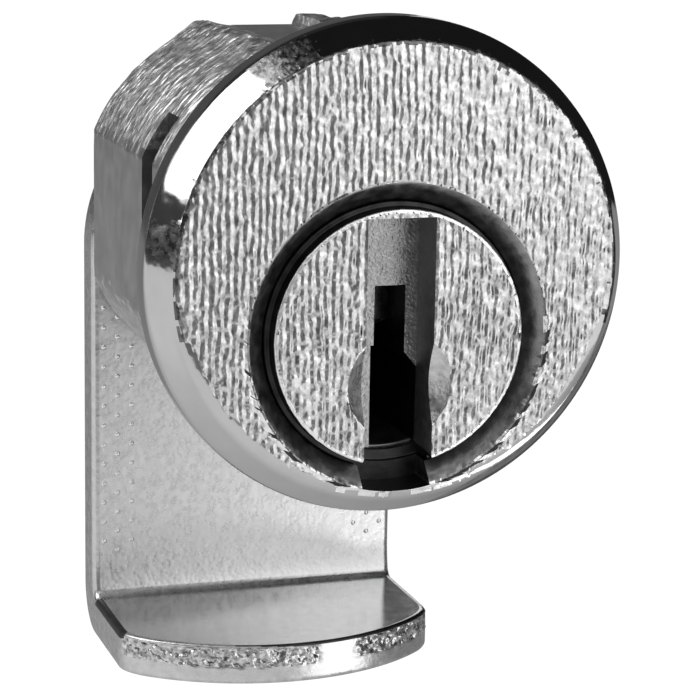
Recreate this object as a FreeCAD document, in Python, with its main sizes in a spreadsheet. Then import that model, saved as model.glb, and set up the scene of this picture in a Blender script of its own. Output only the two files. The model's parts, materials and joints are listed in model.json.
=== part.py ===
import FreeCAD, Part
import math
import os
import Sketcher

# Mailbox lock with a five-pin plug, a double-D barrel and a bent cam.
# The lock axis runs along Y, the head looks towards -Y and +Z is up.
# The origin is the centre of the head's back face, where the door skin ends.
# Every length is in millimetres and every angle in degrees.

SIZES = {
    # housing head
    "head_diameter": 22.22,
    "head_thickness": 3.15,
    "head_face_diameter": 20.3,
    "head_bevel_depth": 1.6,
    "head_back_edge": 0.2,
    # housing barrel
    "barrel_diameter": 19.05,
    "barrel_length": 19.05,
    "barrel_across_flats": 17.5,
    "barrel_end_edge": 0.35,
    "clip_groove_front": 6.5,
    "clip_groove_width": 2.0,
    "clip_groove_across": 15.0,
    # channel along the top of the barrel, and its cover strip
    "channel_front": 0.4,
    "channel_width": 3.2,
    "channel_floor_height": 8.05,
    "channel_flare": 0.75,
    "cover_thickness": 0.8,
    "cover_side_gap": 0.02,
    "cover_end_gap": 0.05,
    # plug and its seat
    "plug_drop": 2.83,
    "ring_diameter": 13.8,
    "ring_depth": 0.85,
    "plug_face_diameter": 11.5,
    "plug_face_proud": 0.1,
    "plug_face_edge": 0.16,
    "plug_step_depth": 0.7,
    "plug_flange_diameter": 11.96,
    "plug_seat_depth": 2.15,
    "plug_diameter": 10.9,
    "running_gap": 0.03,
    "face_channel_width": 3.15,
    "face_channel_depth": 2.3,
    "face_channel_lip": 0.4,
    "thumb_notch_depth": 1.9,
    "dimple_diameter": 4.8,
    "dimple_depth": 1.7,
    "dimple_drop": 2.1,
    # keyway, which is cut to the right of the plug's middle
    "keyway_top": 1.95,
    "keyway_narrow_left": 0.45,
    "keyway_narrow_right": 1.0,
    "keyway_left_step": 0.75,
    "keyway_wide_left": 0.6,
    "keyway_slant_start": 1.1,
    "keyway_slant_end": 1.8,
    "keyway_end_wall": 1.6,
    # pins, springs and their holes
    "pin_diameter": 2.7,
    "pin_gap": 0.05,
    "pin_first": 2.3,
    "pin_pitch": 3.3,
    "pin_hole_bottom": 0.6,
    "pin_tip_diameter": 0.6,
    "pin_tip_height": 0.7,
    "pin_top_diameter": 1.2,
    "pin_top_bevel": 0.2,
    "pin_rest_gap": 0.02,
    "shear_gap": 0.05,
    "driver_length": 2.6,
    "spring_diameter": 2.4,
    "spring_wire": 0.3,
    "spring_end_gap": 0.03,
    # plug clip behind the housing
    "plug_clip_thickness": 0.75,
    "plug_clip_diameter": 12.2,
    "plug_clip_opening": 6.0,
    "plug_clip_end_gap": 0.03,
    "clip_seat_diameter": 9.8,
    "plug_land": 0.45,
    # threaded tail with two flats
    "tail_diameter": 6.35,
    "tail_across_flats": 4.76,
    "tail_length": 9.05,
    "tail_edge": 0.4,
    "tail_gap": 0.03,
    # stop washer and the pocket for its lug
    "stop_washer_thickness": 1.0,
    "stop_washer_diameter": 12.8,
    "stop_lug_clearance": 0.35,
    "stop_lug_thickness": 1.75,
    "stop_lug_angle": 24.0,
    "stop_lug_reach": 1.1,
    "stop_lug_gap": 0.15,
    "stop_play": 1.0,
    "turn_range": 90.0,
    # cam
    "cam_thickness": 2.0,
    "cam_width": 16.58,
    "cam_tab_drop": 18.66,
    "cam_tab_side": 6.7,
    "cam_tab_nose": 3.7,
    "cam_bend_radius": 0.6,
    "cam_tab_corner": 0.9,
    # nut and lock washer
    "lock_washer_diameter": 10.2,
    "lock_washer_thickness": 1.1,
    "lock_washer_slit": 0.7,
    "nut_across_flats": 11.11,
    "nut_thickness": 3.97,
    "nut_corner": 0.45,
}

# Lengths of the five lower pins, from the keyhole end: one for each cut of the key.
KEY_PIN_LENGTHS = [4.3, 5.3, 4.7, 5.6, 4.5]

SPRING_TURNS = 5

doc = FreeCAD.newDocument("mailbox_lock")
sheet = doc.addObject("Spreadsheet::Sheet", "Dims")


class Size:
    """A length or angle: its value now, and the sheet expression that it is bound to."""

    def __init__(self, now, text):
        self.now = float(now)
        self.text = text

    def _join(self, other, sign, now):
        return Size(now, f"({self.text} {sign} {text_of(other)})")

    def __add__(self, other):
        return self._join(other, "+", self.now + now_of(other))

    def __sub__(self, other):
        return self._join(other, "-", self.now - now_of(other))

    def __mul__(self, other):
        return self._join(other, "*", self.now * now_of(other))

    def __truediv__(self, other):
        return self._join(other, "/", self.now / now_of(other))

    def __neg__(self):
        return Size(-self.now, f"(0 - {self.text})")


def now_of(item):
    return item.now if isinstance(item, Size) else float(item)


def text_of(item):
    return item.text if isinstance(item, Size) else str(item)


def fill_sheet(row, name, value):
    """Writes one named driving dimension and returns it as a Size."""
    sheet.set(f"A{row}", name)
    sheet.set(f"B{row}", str(value))
    sheet.setAlias(f"B{row}", name)
    return Size(value, f"Dims.{name}")


class Dims:
    """The driving dimensions by name."""


for row, (name, value) in enumerate(SIZES.items(), start=1):
    setattr(Dims, name, fill_sheet(row, name, value))

key_pin_lengths = []
for index, value in enumerate(KEY_PIN_LENGTHS, start=1):
    row = len(SIZES) + index
    key_pin_lengths.append(fill_sheet(row, f"key_pin_length_{index}", value))

doc.recompute()

ZERO = Size(0, "0")
MARGIN = 2.0  # how far a cutting outline reaches past the metal that it removes
SAME = 0.01  # two places nearer than this are the same place
FULL_TURN = 360

# Radii and places that several pieces share, worked out from the driving dimensions.
head_radius = Dims.head_diameter / 2
barrel_radius = Dims.barrel_diameter / 2
face_y = -Dims.head_thickness
ring_radius = Dims.ring_diameter / 2
flange_radius = Dims.plug_flange_diameter / 2
flange_bore_radius = flange_radius + Dims.running_gap
plug_radius = Dims.plug_diameter / 2
plug_bore_radius = plug_radius + Dims.running_gap
plug_face_y = face_y - Dims.plug_face_proud
seat_y = face_y + Dims.plug_seat_depth
pin_radius = Dims.pin_diameter / 2
pin_hole_radius = pin_radius + Dims.pin_gap
plug_axis_z = -Dims.plug_drop
cover_bottom_z = Dims.channel_floor_height
cover_top_z = cover_bottom_z + Dims.cover_thickness
clip_seat_radius = Dims.clip_seat_diameter / 2
plug_groove_front_y = Dims.barrel_length + Dims.plug_clip_end_gap
plug_groove_back_y = plug_groove_front_y + Dims.plug_clip_thickness + Dims.plug_clip_end_gap
land_back_y = plug_groove_back_y + Dims.plug_land
cam_front_y = land_back_y + Dims.stop_washer_thickness
cam_back_y = cam_front_y + Dims.cam_thickness
nut_front_y = cam_back_y + Dims.lock_washer_thickness
tail_end_y = land_back_y + Dims.tail_length
tail_radius = Dims.tail_diameter / 2
tail_hole_radius = tail_radius + Dims.tail_gap
tail_half_flat = Dims.tail_across_flats / 2
tail_hole_half_flat = tail_half_flat + Dims.tail_gap
stop_lug_inner = Dims.plug_clip_diameter / 2 + Dims.stop_lug_clearance
stop_lug_outer = stop_lug_inner + Dims.stop_lug_thickness
shear_bottom_z = plug_radius - Dims.shear_gap
driver_bottom_z = plug_bore_radius + Dims.shear_gap
driver_top_z = driver_bottom_z + Dims.driver_length
# A pin's point goes down into the keyway until its cone meets the nearer edge there.
pin_tip_radius = Dims.pin_tip_diameter / 2
cone_share = (Dims.keyway_narrow_left - pin_tip_radius) / (pin_radius - pin_tip_radius)
pin_tip_z = Dims.pin_rest_gap - Dims.pin_hole_bottom - cone_share * Dims.pin_tip_height


def add_body(label, drop=ZERO):
    """Starts a sub-part; drop lowers it to the axis that it is built about."""
    body = doc.addObject("PartDesign::Body", label)
    body.Label = label
    if drop is not ZERO:
        body.setExpression(".Placement.Base.z", (-drop).text)
    return body


def origin_plane(body, role):
    """One of the body's own origin planes, such as XZ_Plane."""
    for feature in body.Origin.OriginFeatures:
        if feature.Role == role:
            return feature
    raise ValueError(role)


def add_sketch(body, role, name, lift=ZERO, shift=ZERO, tilt=ZERO):
    """A sketch on an origin plane, lifted off it, shifted in its own Y or tilted back about its X."""
    sketch = body.newObject("Sketcher::SketchObject", f"{body.Name}_{name}")
    sketch.AttachmentSupport = [(origin_plane(body, role), "")]
    sketch.MapMode = "FlatFace"
    if tilt is not ZERO:
        turn = FreeCAD.Rotation(FreeCAD.Vector(-1, 0, 0), tilt.now)
        sketch.AttachmentOffset = FreeCAD.Placement(FreeCAD.Vector(), turn)
        sketch.setExpression(".AttachmentOffset.Rotation.Angle", tilt.text)
    if lift is not ZERO:
        sketch.setExpression(".AttachmentOffset.Base.z", lift.text)
    if shift is not ZERO:
        sketch.setExpression(".AttachmentOffset.Base.y", shift.text)
    return sketch


def bind(sketch, constraint, size):
    """Adds a constraint and binds its value to the sheet."""
    index = sketch.addConstraint(constraint)
    sketch.setExpression(f"Constraints[{index}]", size.text)


def fix_point(sketch, geometry, end, x, y):
    """Holds one point of a sketch at x, y from the sketch's origin."""
    if x is ZERO:
        sketch.addConstraint(Sketcher.Constraint("PointOnObject", geometry, end, -2))
    else:
        bind(sketch, Sketcher.Constraint("DistanceX", -1, 1, geometry, end, x.now), x)
    if y is ZERO:
        sketch.addConstraint(Sketcher.Constraint("PointOnObject", geometry, end, -1))
    else:
        bind(sketch, Sketcher.Constraint("DistanceY", -1, 1, geometry, end, y.now), y)


def circle(sketch, x, y, radius):
    """A full circle with a bound centre and radius."""
    centre = FreeCAD.Vector(x.now, y.now, 0)
    ring = Part.Circle(centre, FreeCAD.Vector(0, 0, 1), radius.now)
    index = sketch.addGeometry(ring, False)
    fix_point(sketch, index, 3, x, y)
    bind(sketch, Sketcher.Constraint("Radius", index, radius.now), radius)


def arc_side(start, end, radius, side):
    """An arc from start to end; side 1 puts its centre on the left of the way, -1 on the right."""
    chord = end - start
    half = chord.Length / 2
    rise = math.sqrt(max(radius.now ** 2 - half ** 2, 0.0))
    left = FreeCAD.Vector(-chord.y, chord.x, 0).normalize()
    centre = start + chord * 0.5 + left * (rise * side)
    if side < 0:
        start, end = end, start
    first = math.atan2(start.y - centre.y, start.x - centre.x)
    last = math.atan2(end.y - centre.y, end.x - centre.x)
    if last < first:
        last += 2 * math.pi
    ring = Part.Circle(centre, FreeCAD.Vector(0, 0, 1), radius.now)
    return Part.ArcOfCircle(ring, first, last)


def outline(sketch, corners, arcs=None):
    """A closed outline through corners; arcs gives the sides that are arcs as {side: (radius, side)}."""
    arcs = arcs or {}
    places = [FreeCAD.Vector(x.now, y.now, 0) for x, y in corners]
    count = len(corners)
    ends = []
    for number, start in enumerate(places):
        end = places[(number + 1) % count]
        if number in arcs:
            radius, side = arcs[number]
            index = sketch.addGeometry(arc_side(start, end, radius, side), False)
            bind(sketch, Sketcher.Constraint("Radius", index, radius.now), radius)
            ends.append((index, 1, 2) if side > 0 else (index, 2, 1))
        else:
            index = sketch.addGeometry(Part.LineSegment(start, end), False)
            ends.append((index, 1, 2))
    for number, (x, y) in enumerate(corners):
        index, first, last = ends[number]
        before, _, before_last = ends[number - 1]
        joint = Sketcher.Constraint("Coincident", before, before_last, index, first)
        sketch.addConstraint(joint)
        fix_point(sketch, index, first, x, y)


def rectangle(sketch, x_low, y_low, x_high, y_high):
    outline(sketch, [(x_low, y_low), (x_high, y_low), (x_high, y_high), (x_low, y_high)])


def both_sides(sketch, near, far, y_low, y_high):
    """Two rectangles, mirror images in the sketch's Y axis, from near to far."""
    rectangle(sketch, near, y_low, far, y_high)
    rectangle(sketch, -far, y_low, -near, y_high)


def add_feature(body, kind, sketch, name):
    feature = body.newObject(f"PartDesign::{kind}", f"{body.Name}_{name}")
    feature.Profile = sketch
    return feature


def volume_now(body):
    doc.recompute()
    return body.Shape.Volume


def pad(body, sketch, length, name, symmetric=False, backwards=False):
    feature = add_feature(body, "Pad", sketch, name)
    feature.setExpression("Length", length.text)
    feature.Reversed = backwards
    if symmetric:
        feature.SideType = "Symmetric"
    doc.recompute()
    return feature


def check_cut(body, before, name):
    """A cut that points away from the metal removes nothing, so the volume is compared."""
    removed = before - volume_now(body)
    if removed <= 0:
        raise ValueError(f"{body.Label}: {name} removes nothing")


def pocket(body, sketch, length, name, backwards=False):
    before = volume_now(body)
    feature = add_feature(body, "Pocket", sketch, name)
    feature.setExpression("Length", length.text)
    feature.Reversed = backwards
    check_cut(body, before, name)
    return feature


def revolve(body, sketch, axis, name, angle=None):
    """Turns an outline about the sketch's own axis, all round or centred over an angle."""
    feature = add_feature(body, "Revolution", sketch, name)
    feature.ReferenceAxis = (sketch, [axis])
    if angle is None:
        feature.Angle = FULL_TURN
    else:
        feature.Midplane = True
        feature.setExpression("Angle", angle.text)
    doc.recompute()
    return feature


def groove(body, sketch, axis, name, angle=None):
    """Cuts an outline turned about the sketch's own axis, all round or centred over an angle."""
    before = volume_now(body)
    feature = add_feature(body, "Groove", sketch, name)
    feature.ReferenceAxis = (sketch, [axis])
    if angle is None:
        feature.Angle = FULL_TURN
    else:
        feature.Midplane = True
        feature.setExpression("Angle", angle.text)
    check_cut(body, before, name)
    return feature


def repeat_along(body, feature, sketch, axis, spacing, count, name):
    """Repeats a cut in a row along an axis of its sketch."""
    before = volume_now(body)
    row_of = body.newObject("PartDesign::LinearPattern", f"{body.Name}_{name}")
    row_of.Originals = [feature]
    row_of.Direction = (sketch, [axis])
    row_of.setExpression("Length", (spacing * (count - 1)).text)
    row_of.Occurrences = count
    body.Tip = row_of
    check_cut(body, before, name)


def soften(body, kind, size, name, wanted):
    """A Fillet or Chamfer on the edges of the body for which wanted(edge) is true."""
    doc.recompute()
    last = body.Tip
    names = []
    for index, edge in enumerate(last.Shape.Edges, start=1):
        if wanted(edge):
            names.append(f"Edge{index}")
    if not names:
        raise ValueError(f"{body.Label}: {name} finds no edge")
    feature = body.newObject(f"PartDesign::{kind}", f"{body.Name}_{name}")
    feature.Base = (last, names)
    feature.setExpression("Radius" if kind == "Fillet" else "Size", size.text)
    doc.recompute()


def double_d_hole(sketch):
    """The hole for the tail: a round hole with two flats, drawn about the sketch's origin."""
    reach = Size(
        math.sqrt(tail_hole_radius.now ** 2 - tail_hole_half_flat.now ** 2),
        f"sqrt({tail_hole_radius.text} * {tail_hole_radius.text}"
        f" - {tail_hole_half_flat.text} * {tail_hole_half_flat.text})",
    )
    wide = tail_hole_half_flat
    corners = [(-wide, -reach), (wide, -reach), (wide, reach), (-wide, reach)]
    outline(sketch, corners, {0: (tail_hole_radius, 1), 2: (tail_hole_radius, 1)})


def build_housing():
    """Turned head and barrel, milled flats, plug bore, pin chambers and the stop pocket."""
    body = add_body("lock_body")
    blank = add_sketch(body, "XY_Plane", "blank_outline")
    edge = Dims.head_back_edge
    end = Dims.barrel_end_edge
    outline(blank, [
        (ZERO, face_y),
        (Dims.head_face_diameter / 2, face_y),
        (head_radius, face_y + Dims.head_bevel_depth),
        (head_radius, -edge),
        (head_radius - edge, ZERO),
        (barrel_radius, ZERO),
        (barrel_radius, Dims.barrel_length - end),
        (barrel_radius - end, Dims.barrel_length),
        (ZERO, Dims.barrel_length),
    ])
    revolve(body, blank, "V_Axis", "blank")

    outside = barrel_radius + MARGIN
    flats = add_sketch(body, "XZ_Plane", "flats_outline", lift=-Dims.barrel_length)
    both_sides(flats, Dims.barrel_across_flats / 2, outside, -outside, outside)
    pocket(body, flats, Dims.barrel_length, "flats", backwards=True)

    clip_front = Dims.clip_groove_front
    clip = add_sketch(body, "XZ_Plane", "clip_outline", lift=-(clip_front + Dims.clip_groove_width))
    both_sides(clip, Dims.clip_groove_across / 2, outside, -outside, outside)
    pocket(body, clip, Dims.clip_groove_width, "clip_groove", backwards=True)

    channel = add_sketch(body, "XZ_Plane", "channel_outline", lift=-Dims.barrel_length)
    half = Dims.channel_width / 2
    flare = Dims.channel_flare
    outline(channel, [
        (-half, Dims.channel_floor_height),
        (half, Dims.channel_floor_height),
        (half, cover_top_z),
        (half + flare, outside),
        (-half - flare - flare, outside),
        (-half, cover_top_z),
    ])
    pocket(body, channel, Dims.barrel_length - Dims.channel_front, "channel", backwards=True)

    chamber = add_sketch(body, "XY_Plane", "chamber_outline", lift=cover_bottom_z)
    circle(chamber, ZERO, Dims.pin_first, pin_hole_radius)
    first = pocket(body, chamber, cover_bottom_z - plug_axis_z, "chamber")
    repeat_along(body, first, chamber, "V_Axis", Dims.pin_pitch, len(key_pin_lengths), "chambers")

    bore = add_sketch(body, "YZ_Plane", "bore_outline", shift=plug_axis_z)
    outline(bore, [
        (face_y, ZERO),
        (face_y, ring_radius),
        (face_y + Dims.ring_depth, flange_bore_radius),
        (seat_y, flange_bore_radius),
        (seat_y, plug_bore_radius),
        (Dims.barrel_length, plug_bore_radius),
        (Dims.barrel_length, ZERO),
    ])
    groove(body, bore, "H_Axis", "bore")

    notch = add_sketch(body, "XZ_Plane", "notch_outline", lift=Dims.head_thickness)
    wide = Dims.face_channel_width / 2
    rectangle(notch, -wide, plug_axis_z - ring_radius, wide, plug_axis_z - plug_radius)
    pocket(body, notch, Dims.thumb_notch_depth, "notch")

    stop = add_sketch(body, "YZ_Plane", "stop_outline", shift=plug_axis_z)
    stop_front = Dims.barrel_length - Dims.stop_lug_reach - Dims.stop_lug_gap
    rectangle(
        stop,
        stop_front,
        stop_lug_inner - Dims.stop_lug_gap,
        Dims.barrel_length,
        stop_lug_outer + Dims.stop_lug_gap,
    )
    sweep = Dims.turn_range + Dims.stop_lug_angle + Dims.stop_play * 2
    groove(body, stop, "H_Axis", "stop_pocket", angle=sweep)
    return body


def build_plug():
    """Turned plug with its tail, then the face channel, dimple, keyway and pin holes."""
    body = add_body("plug", drop=Dims.plug_drop)
    face_radius = Dims.plug_face_diameter / 2
    step_y = face_y + Dims.plug_step_depth
    blank = add_sketch(body, "XY_Plane", "blank_outline")
    outline(blank, [
        (ZERO, plug_face_y),
        (face_radius - Dims.plug_face_edge, plug_face_y),
        (face_radius, plug_face_y + Dims.plug_face_edge),
        (face_radius, step_y),
        (flange_radius, step_y),
        (flange_radius, seat_y),
        (plug_radius, seat_y),
        (plug_radius, plug_groove_front_y),
        (clip_seat_radius, plug_groove_front_y),
        (clip_seat_radius, plug_groove_back_y),
        (plug_radius, plug_groove_back_y),
        (plug_radius, land_back_y),
        (tail_radius, land_back_y),
        (tail_radius, tail_end_y - Dims.tail_edge),
        (tail_radius - Dims.tail_edge, tail_end_y),
        (ZERO, tail_end_y),
    ])
    revolve(body, blank, "V_Axis", "blank")

    outside = tail_radius + MARGIN
    flats = add_sketch(body, "XZ_Plane", "flats_outline", lift=-tail_end_y)
    both_sides(flats, tail_half_flat, outside, -outside, outside)
    pocket(body, flats, Dims.tail_length, "flats", backwards=True)

    half = Dims.face_channel_width / 2
    below = -flange_radius - MARGIN
    channel = add_sketch(body, "XZ_Plane", "channel_outline", lift=-plug_face_y)
    rectangle(channel, -half, below, half, face_radius - Dims.face_channel_lip)
    pocket(body, channel, Dims.face_channel_depth, "face_channel")

    dimple = add_sketch(body, "YZ_Plane", "dimple_outline", shift=-Dims.dimple_drop)
    outline(dimple, [
        (plug_face_y, ZERO),
        (plug_face_y, Dims.dimple_diameter / 2),
        (plug_face_y + Dims.dimple_depth, ZERO),
    ])
    groove(body, dimple, "H_Axis", "dimple")

    keyway = add_sketch(body, "XZ_Plane", "keyway_outline", lift=-plug_face_y)
    outline(keyway, [
        (-Dims.keyway_narrow_left, Dims.keyway_top),
        (-Dims.keyway_narrow_left, -Dims.keyway_left_step),
        (-Dims.keyway_wide_left, -Dims.keyway_left_step),
        (-Dims.keyway_wide_left, below),
        (half, below),
        (half, -Dims.keyway_slant_end),
        (Dims.keyway_narrow_right, -Dims.keyway_slant_start),
        (Dims.keyway_narrow_right, Dims.keyway_top),
    ])
    keyway_end = Dims.barrel_length - Dims.keyway_end_wall
    pocket(body, keyway, keyway_end - plug_face_y, "keyway")

    hole = add_sketch(body, "XY_Plane", "pin_hole_outline", lift=plug_radius)
    circle(hole, ZERO, Dims.pin_first, pin_hole_radius)
    first = pocket(body, hole, plug_radius + Dims.pin_hole_bottom, "pin_hole")
    repeat_along(body, first, hole, "V_Axis", Dims.pin_pitch, len(key_pin_lengths), "pin_holes")
    return body


def place_on_pin(body, index):
    """Moves a pin or spring to its chamber, in the row along Y."""
    along = Dims.pin_first + Dims.pin_pitch * index
    body.setExpression(".Placement.Base.y", along.text)


def build_key_pin(index, length):
    """Lower pin: a bevelled top and a pointed end, which lies on an edge of the keyway."""
    body = add_body(f"key_pin_{index + 1}", drop=Dims.plug_drop)
    top_z = pin_tip_z + length
    print(f"key_pin_{index + 1}: rises {(shear_bottom_z - top_z).now:.3f} mm to the shear line")
    sketch = add_sketch(body, "XZ_Plane", "outline")
    outline(sketch, [
        (ZERO, pin_tip_z),
        (pin_tip_radius, pin_tip_z),
        (pin_radius, pin_tip_z + Dims.pin_tip_height),
        (pin_radius, top_z - Dims.pin_top_bevel),
        (Dims.pin_top_diameter / 2, top_z),
        (ZERO, top_z),
    ])
    revolve(body, sketch, "V_Axis", "pin")
    place_on_pin(body, index)
    return body


def build_driver_pin(index):
    """Upper pin: a plain cylinder with both ends bevelled, just above the shear line."""
    body = add_body(f"driver_pin_{index + 1}", drop=Dims.plug_drop)
    bevel = Dims.pin_top_bevel
    sketch = add_sketch(body, "XZ_Plane", "outline")
    outline(sketch, [
        (ZERO, driver_bottom_z),
        (pin_radius - bevel, driver_bottom_z),
        (pin_radius, driver_bottom_z + bevel),
        (pin_radius, driver_top_z - bevel),
        (pin_radius - bevel, driver_top_z),
        (ZERO, driver_top_z),
    ])
    revolve(body, sketch, "V_Axis", "pin")
    place_on_pin(body, index)
    return body


def helix_place(radius, pitch, angle):
    """A point of a helix about Z, and the way that the helix runs there."""
    rise = pitch / (2 * math.pi)
    place = FreeCAD.Vector(radius * math.cos(angle), radius * math.sin(angle), rise * angle)
    heading = FreeCAD.Vector(-radius * math.sin(angle), radius * math.cos(angle), rise)
    return place, heading.normalize()


def arc_under(start, apex, end):
    """The arc that leaves start towards apex and reaches end as if it came from apex."""
    middle = (start + end) * 0.5
    slant = (start - middle).Length / (start - apex).Length
    return Part.Arc(start, middle + (apex - middle) * (slant / (1 + slant)), end).toShape()


def two_arcs(start, heading, end, end_heading):
    """Two arcs that meet smoothly, from start along heading to end along end_heading."""
    way = end - start
    bend = 1 - heading.dot(end_heading)
    along = way.dot(heading + end_heading)
    reach = (math.sqrt(along ** 2 + 2 * bend * way.dot(way)) - along) / (2 * bend)
    near = start + heading * reach
    far = end - end_heading * reach
    joint = (near + far) * 0.5
    return [arc_under(start, near, joint), arc_under(joint, far, end)]


def build_pin_spring(index):
    """Coil spring between a driver pin and the cover: one wire along arcs that follow a helix."""
    wire_radius = Dims.spring_wire.now / 2
    coil_radius = Dims.spring_diameter.now / 2 - wire_radius
    bottom = plug_axis_z.now + driver_top_z.now + Dims.spring_end_gap.now + wire_radius
    top = cover_bottom_z.now - Dims.spring_end_gap.now - wire_radius
    pitch = (top - bottom) / SPRING_TURNS
    edges = []
    for quarter in range(SPRING_TURNS * 4):
        start, heading = helix_place(coil_radius, pitch, quarter * math.pi / 2)
        end, end_heading = helix_place(coil_radius, pitch, (quarter + 1) * math.pi / 2)
        edges += two_arcs(start, heading, end, end_heading)
    first, heading = helix_place(coil_radius, pitch, 0)
    section = Part.Wire(Part.Circle(first, heading, wire_radius).toShape())
    spring = doc.addObject("Part::Feature", f"pin_spring_{index + 1}")
    spring.Label = f"pin_spring_{index + 1}"
    spring.Shape = Part.Wire(edges).makePipeShell([section], True)
    along = Dims.pin_first.now + Dims.pin_pitch.now * index
    spring.Placement = FreeCAD.Placement(FreeCAD.Vector(0, along, bottom), FreeCAD.Rotation())
    return spring


def build_chamber_cover():
    """Strip that closes the chambers, set down in the channel along the top of the barrel."""
    body = add_body("chamber_cover")
    half = Dims.channel_width / 2 - Dims.cover_side_gap
    sketch = add_sketch(body, "XY_Plane", "outline", lift=cover_bottom_z)
    front = Dims.channel_front + Dims.cover_end_gap
    rectangle(sketch, -half, front, half, Dims.barrel_length - Dims.cover_end_gap)
    pad(body, sketch, Dims.cover_thickness, "strip")
    return body


def build_plug_clip():
    """C-shaped ring in the plug's groove, open at the bottom, bearing on the housing's back."""
    body = add_body("plug_clip", drop=Dims.plug_drop)
    back_y = plug_groove_back_y - Dims.plug_clip_end_gap / 2
    ring = add_sketch(body, "XZ_Plane", "ring_outline", lift=-back_y)
    circle(ring, ZERO, ZERO, Dims.plug_clip_diameter / 2)
    circle(ring, ZERO, ZERO, clip_seat_radius + Dims.running_gap)
    pad(body, ring, Dims.plug_clip_thickness, "ring")

    half = Dims.plug_clip_opening / 2
    below = -Dims.plug_clip_diameter / 2 - MARGIN
    gap = add_sketch(body, "XZ_Plane", "opening_outline", lift=-back_y)
    rectangle(gap, -half, below, half, ZERO)
    pocket(body, gap, Dims.plug_clip_thickness, "opening", backwards=True)
    return body


def build_stop_washer():
    """Washer keyed on the tail, with a lug that turns in the housing's stop pocket."""
    body = add_body("stop_washer", drop=Dims.plug_drop)
    disc = add_sketch(body, "XZ_Plane", "disc_outline", lift=-cam_front_y)
    circle(disc, ZERO, ZERO, Dims.stop_washer_diameter / 2)
    double_d_hole(disc)
    pad(body, disc, Dims.stop_washer_thickness, "disc")

    lug = add_sketch(body, "YZ_Plane", "lug_outline", tilt=Dims.turn_range / 2)
    rooted = Dims.stop_washer_diameter / 2 - Dims.stop_washer_thickness
    outline(lug, [
        (Dims.barrel_length - Dims.stop_lug_reach, stop_lug_inner),
        (land_back_y, stop_lug_inner),
        (land_back_y, rooted),
        (cam_front_y, rooted),
        (cam_front_y, stop_lug_outer),
        (Dims.barrel_length - Dims.stop_lug_reach, stop_lug_outer),
    ])
    revolve(body, lug, "H_Axis", "lug", angle=Dims.stop_lug_angle)
    return body


def build_cam():
    """Bent plate: a round upper end about the tail, a straight drop and a tab with a curved nose."""
    body = add_body("cam", drop=Dims.plug_drop)
    half = Dims.cam_width / 2
    thick = Dims.cam_thickness
    inner = Dims.cam_bend_radius
    outer = inner + thick
    top_y = -Dims.cam_tab_drop
    side_y = cam_front_y - Dims.cam_tab_side
    nose_y = side_y - Dims.cam_tab_nose

    disc = add_sketch(body, "XZ_Plane", "disc_outline", lift=-cam_back_y)
    circle(disc, ZERO, ZERO, half)
    pad(body, disc, thick, "disc")

    bend = add_sketch(body, "YZ_Plane", "bend_outline")
    outline(bend, [
        (cam_front_y, ZERO),
        (cam_front_y, top_y + inner),
        (cam_front_y - inner, top_y),
        (nose_y - MARGIN, top_y),
        (nose_y - MARGIN, top_y - thick),
        (cam_front_y - inner, top_y - thick),
        (cam_back_y, top_y + inner),
        (cam_back_y, ZERO),
    ], {1: (inner, -1), 5: (outer, 1)})
    pad(body, bend, Dims.cam_width, "bend", symmetric=True)

    nose_radius = (half * half + Dims.cam_tab_nose * Dims.cam_tab_nose) / (Dims.cam_tab_nose * 2)
    beyond = half + MARGIN
    ahead = nose_y - MARGIN - MARGIN
    nose = add_sketch(body, "XY_Plane", "nose_outline", lift=top_y)
    outline(nose, [
        (-half, side_y),
        (half, side_y),
        (beyond, side_y),
        (beyond, ahead),
        (-beyond, ahead),
        (-beyond, side_y),
    ], {0: (nose_radius, 1)})
    pocket(body, nose, thick, "nose")

    hole = add_sketch(body, "XZ_Plane", "hole_outline", lift=-cam_back_y)
    double_d_hole(hole)
    pocket(body, hole, thick, "hole", backwards=True)

    def is_tab_corner(edge):
        box = edge.BoundBox
        upright = box.XLength < SAME and box.YLength < SAME
        at_side = abs(abs(box.Center.x) - half.now) < SAME
        return upright and at_side and abs(box.Center.y - side_y.now) < SAME

    soften(body, "Fillet", Dims.cam_tab_corner, "tab_corners", is_tab_corner)
    return body


def build_lock_washer():
    """Spring washer, split on one side."""
    body = add_body("lock_washer", drop=Dims.plug_drop)
    ring = add_sketch(body, "XZ_Plane", "ring_outline", lift=-nut_front_y)
    circle(ring, ZERO, ZERO, Dims.lock_washer_diameter / 2)
    circle(ring, ZERO, ZERO, tail_hole_radius)
    pad(body, ring, Dims.lock_washer_thickness, "ring")

    half = Dims.lock_washer_slit / 2
    slit = add_sketch(body, "XZ_Plane", "slit_outline", lift=-nut_front_y)
    rectangle(slit, ZERO, -half, Dims.lock_washer_diameter / 2 + MARGIN, half)
    pocket(body, slit, Dims.lock_washer_thickness, "slit", backwards=True)
    return body


def build_cam_nut():
    """Hexagon nut whose corners are turned off on the outer side."""
    body = add_body("cam_nut", drop=Dims.plug_drop)
    half = Dims.nut_across_flats / 2
    corner = Dims.nut_across_flats / math.sqrt(3)
    nut_back_y = nut_front_y + Dims.nut_thickness
    hexagon = add_sketch(body, "XZ_Plane", "hexagon_outline", lift=-nut_back_y)
    outline(hexagon, [
        (ZERO, -corner),
        (half, -corner / 2),
        (half, corner / 2),
        (ZERO, corner),
        (-half, corner / 2),
        (-half, -corner / 2),
    ])
    circle(hexagon, ZERO, ZERO, tail_hole_radius)
    pad(body, hexagon, Dims.nut_thickness, "hexagon")

    turned = add_sketch(body, "XY_Plane", "corner_outline")
    outline(turned, [
        (half, nut_back_y),
        (corner + Dims.nut_corner, nut_back_y - Dims.nut_corner),
        (corner + Dims.nut_corner, nut_back_y + MARGIN),
        (half, nut_back_y + MARGIN),
    ])
    groove(body, turned, "V_Axis", "corners")
    return body


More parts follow.
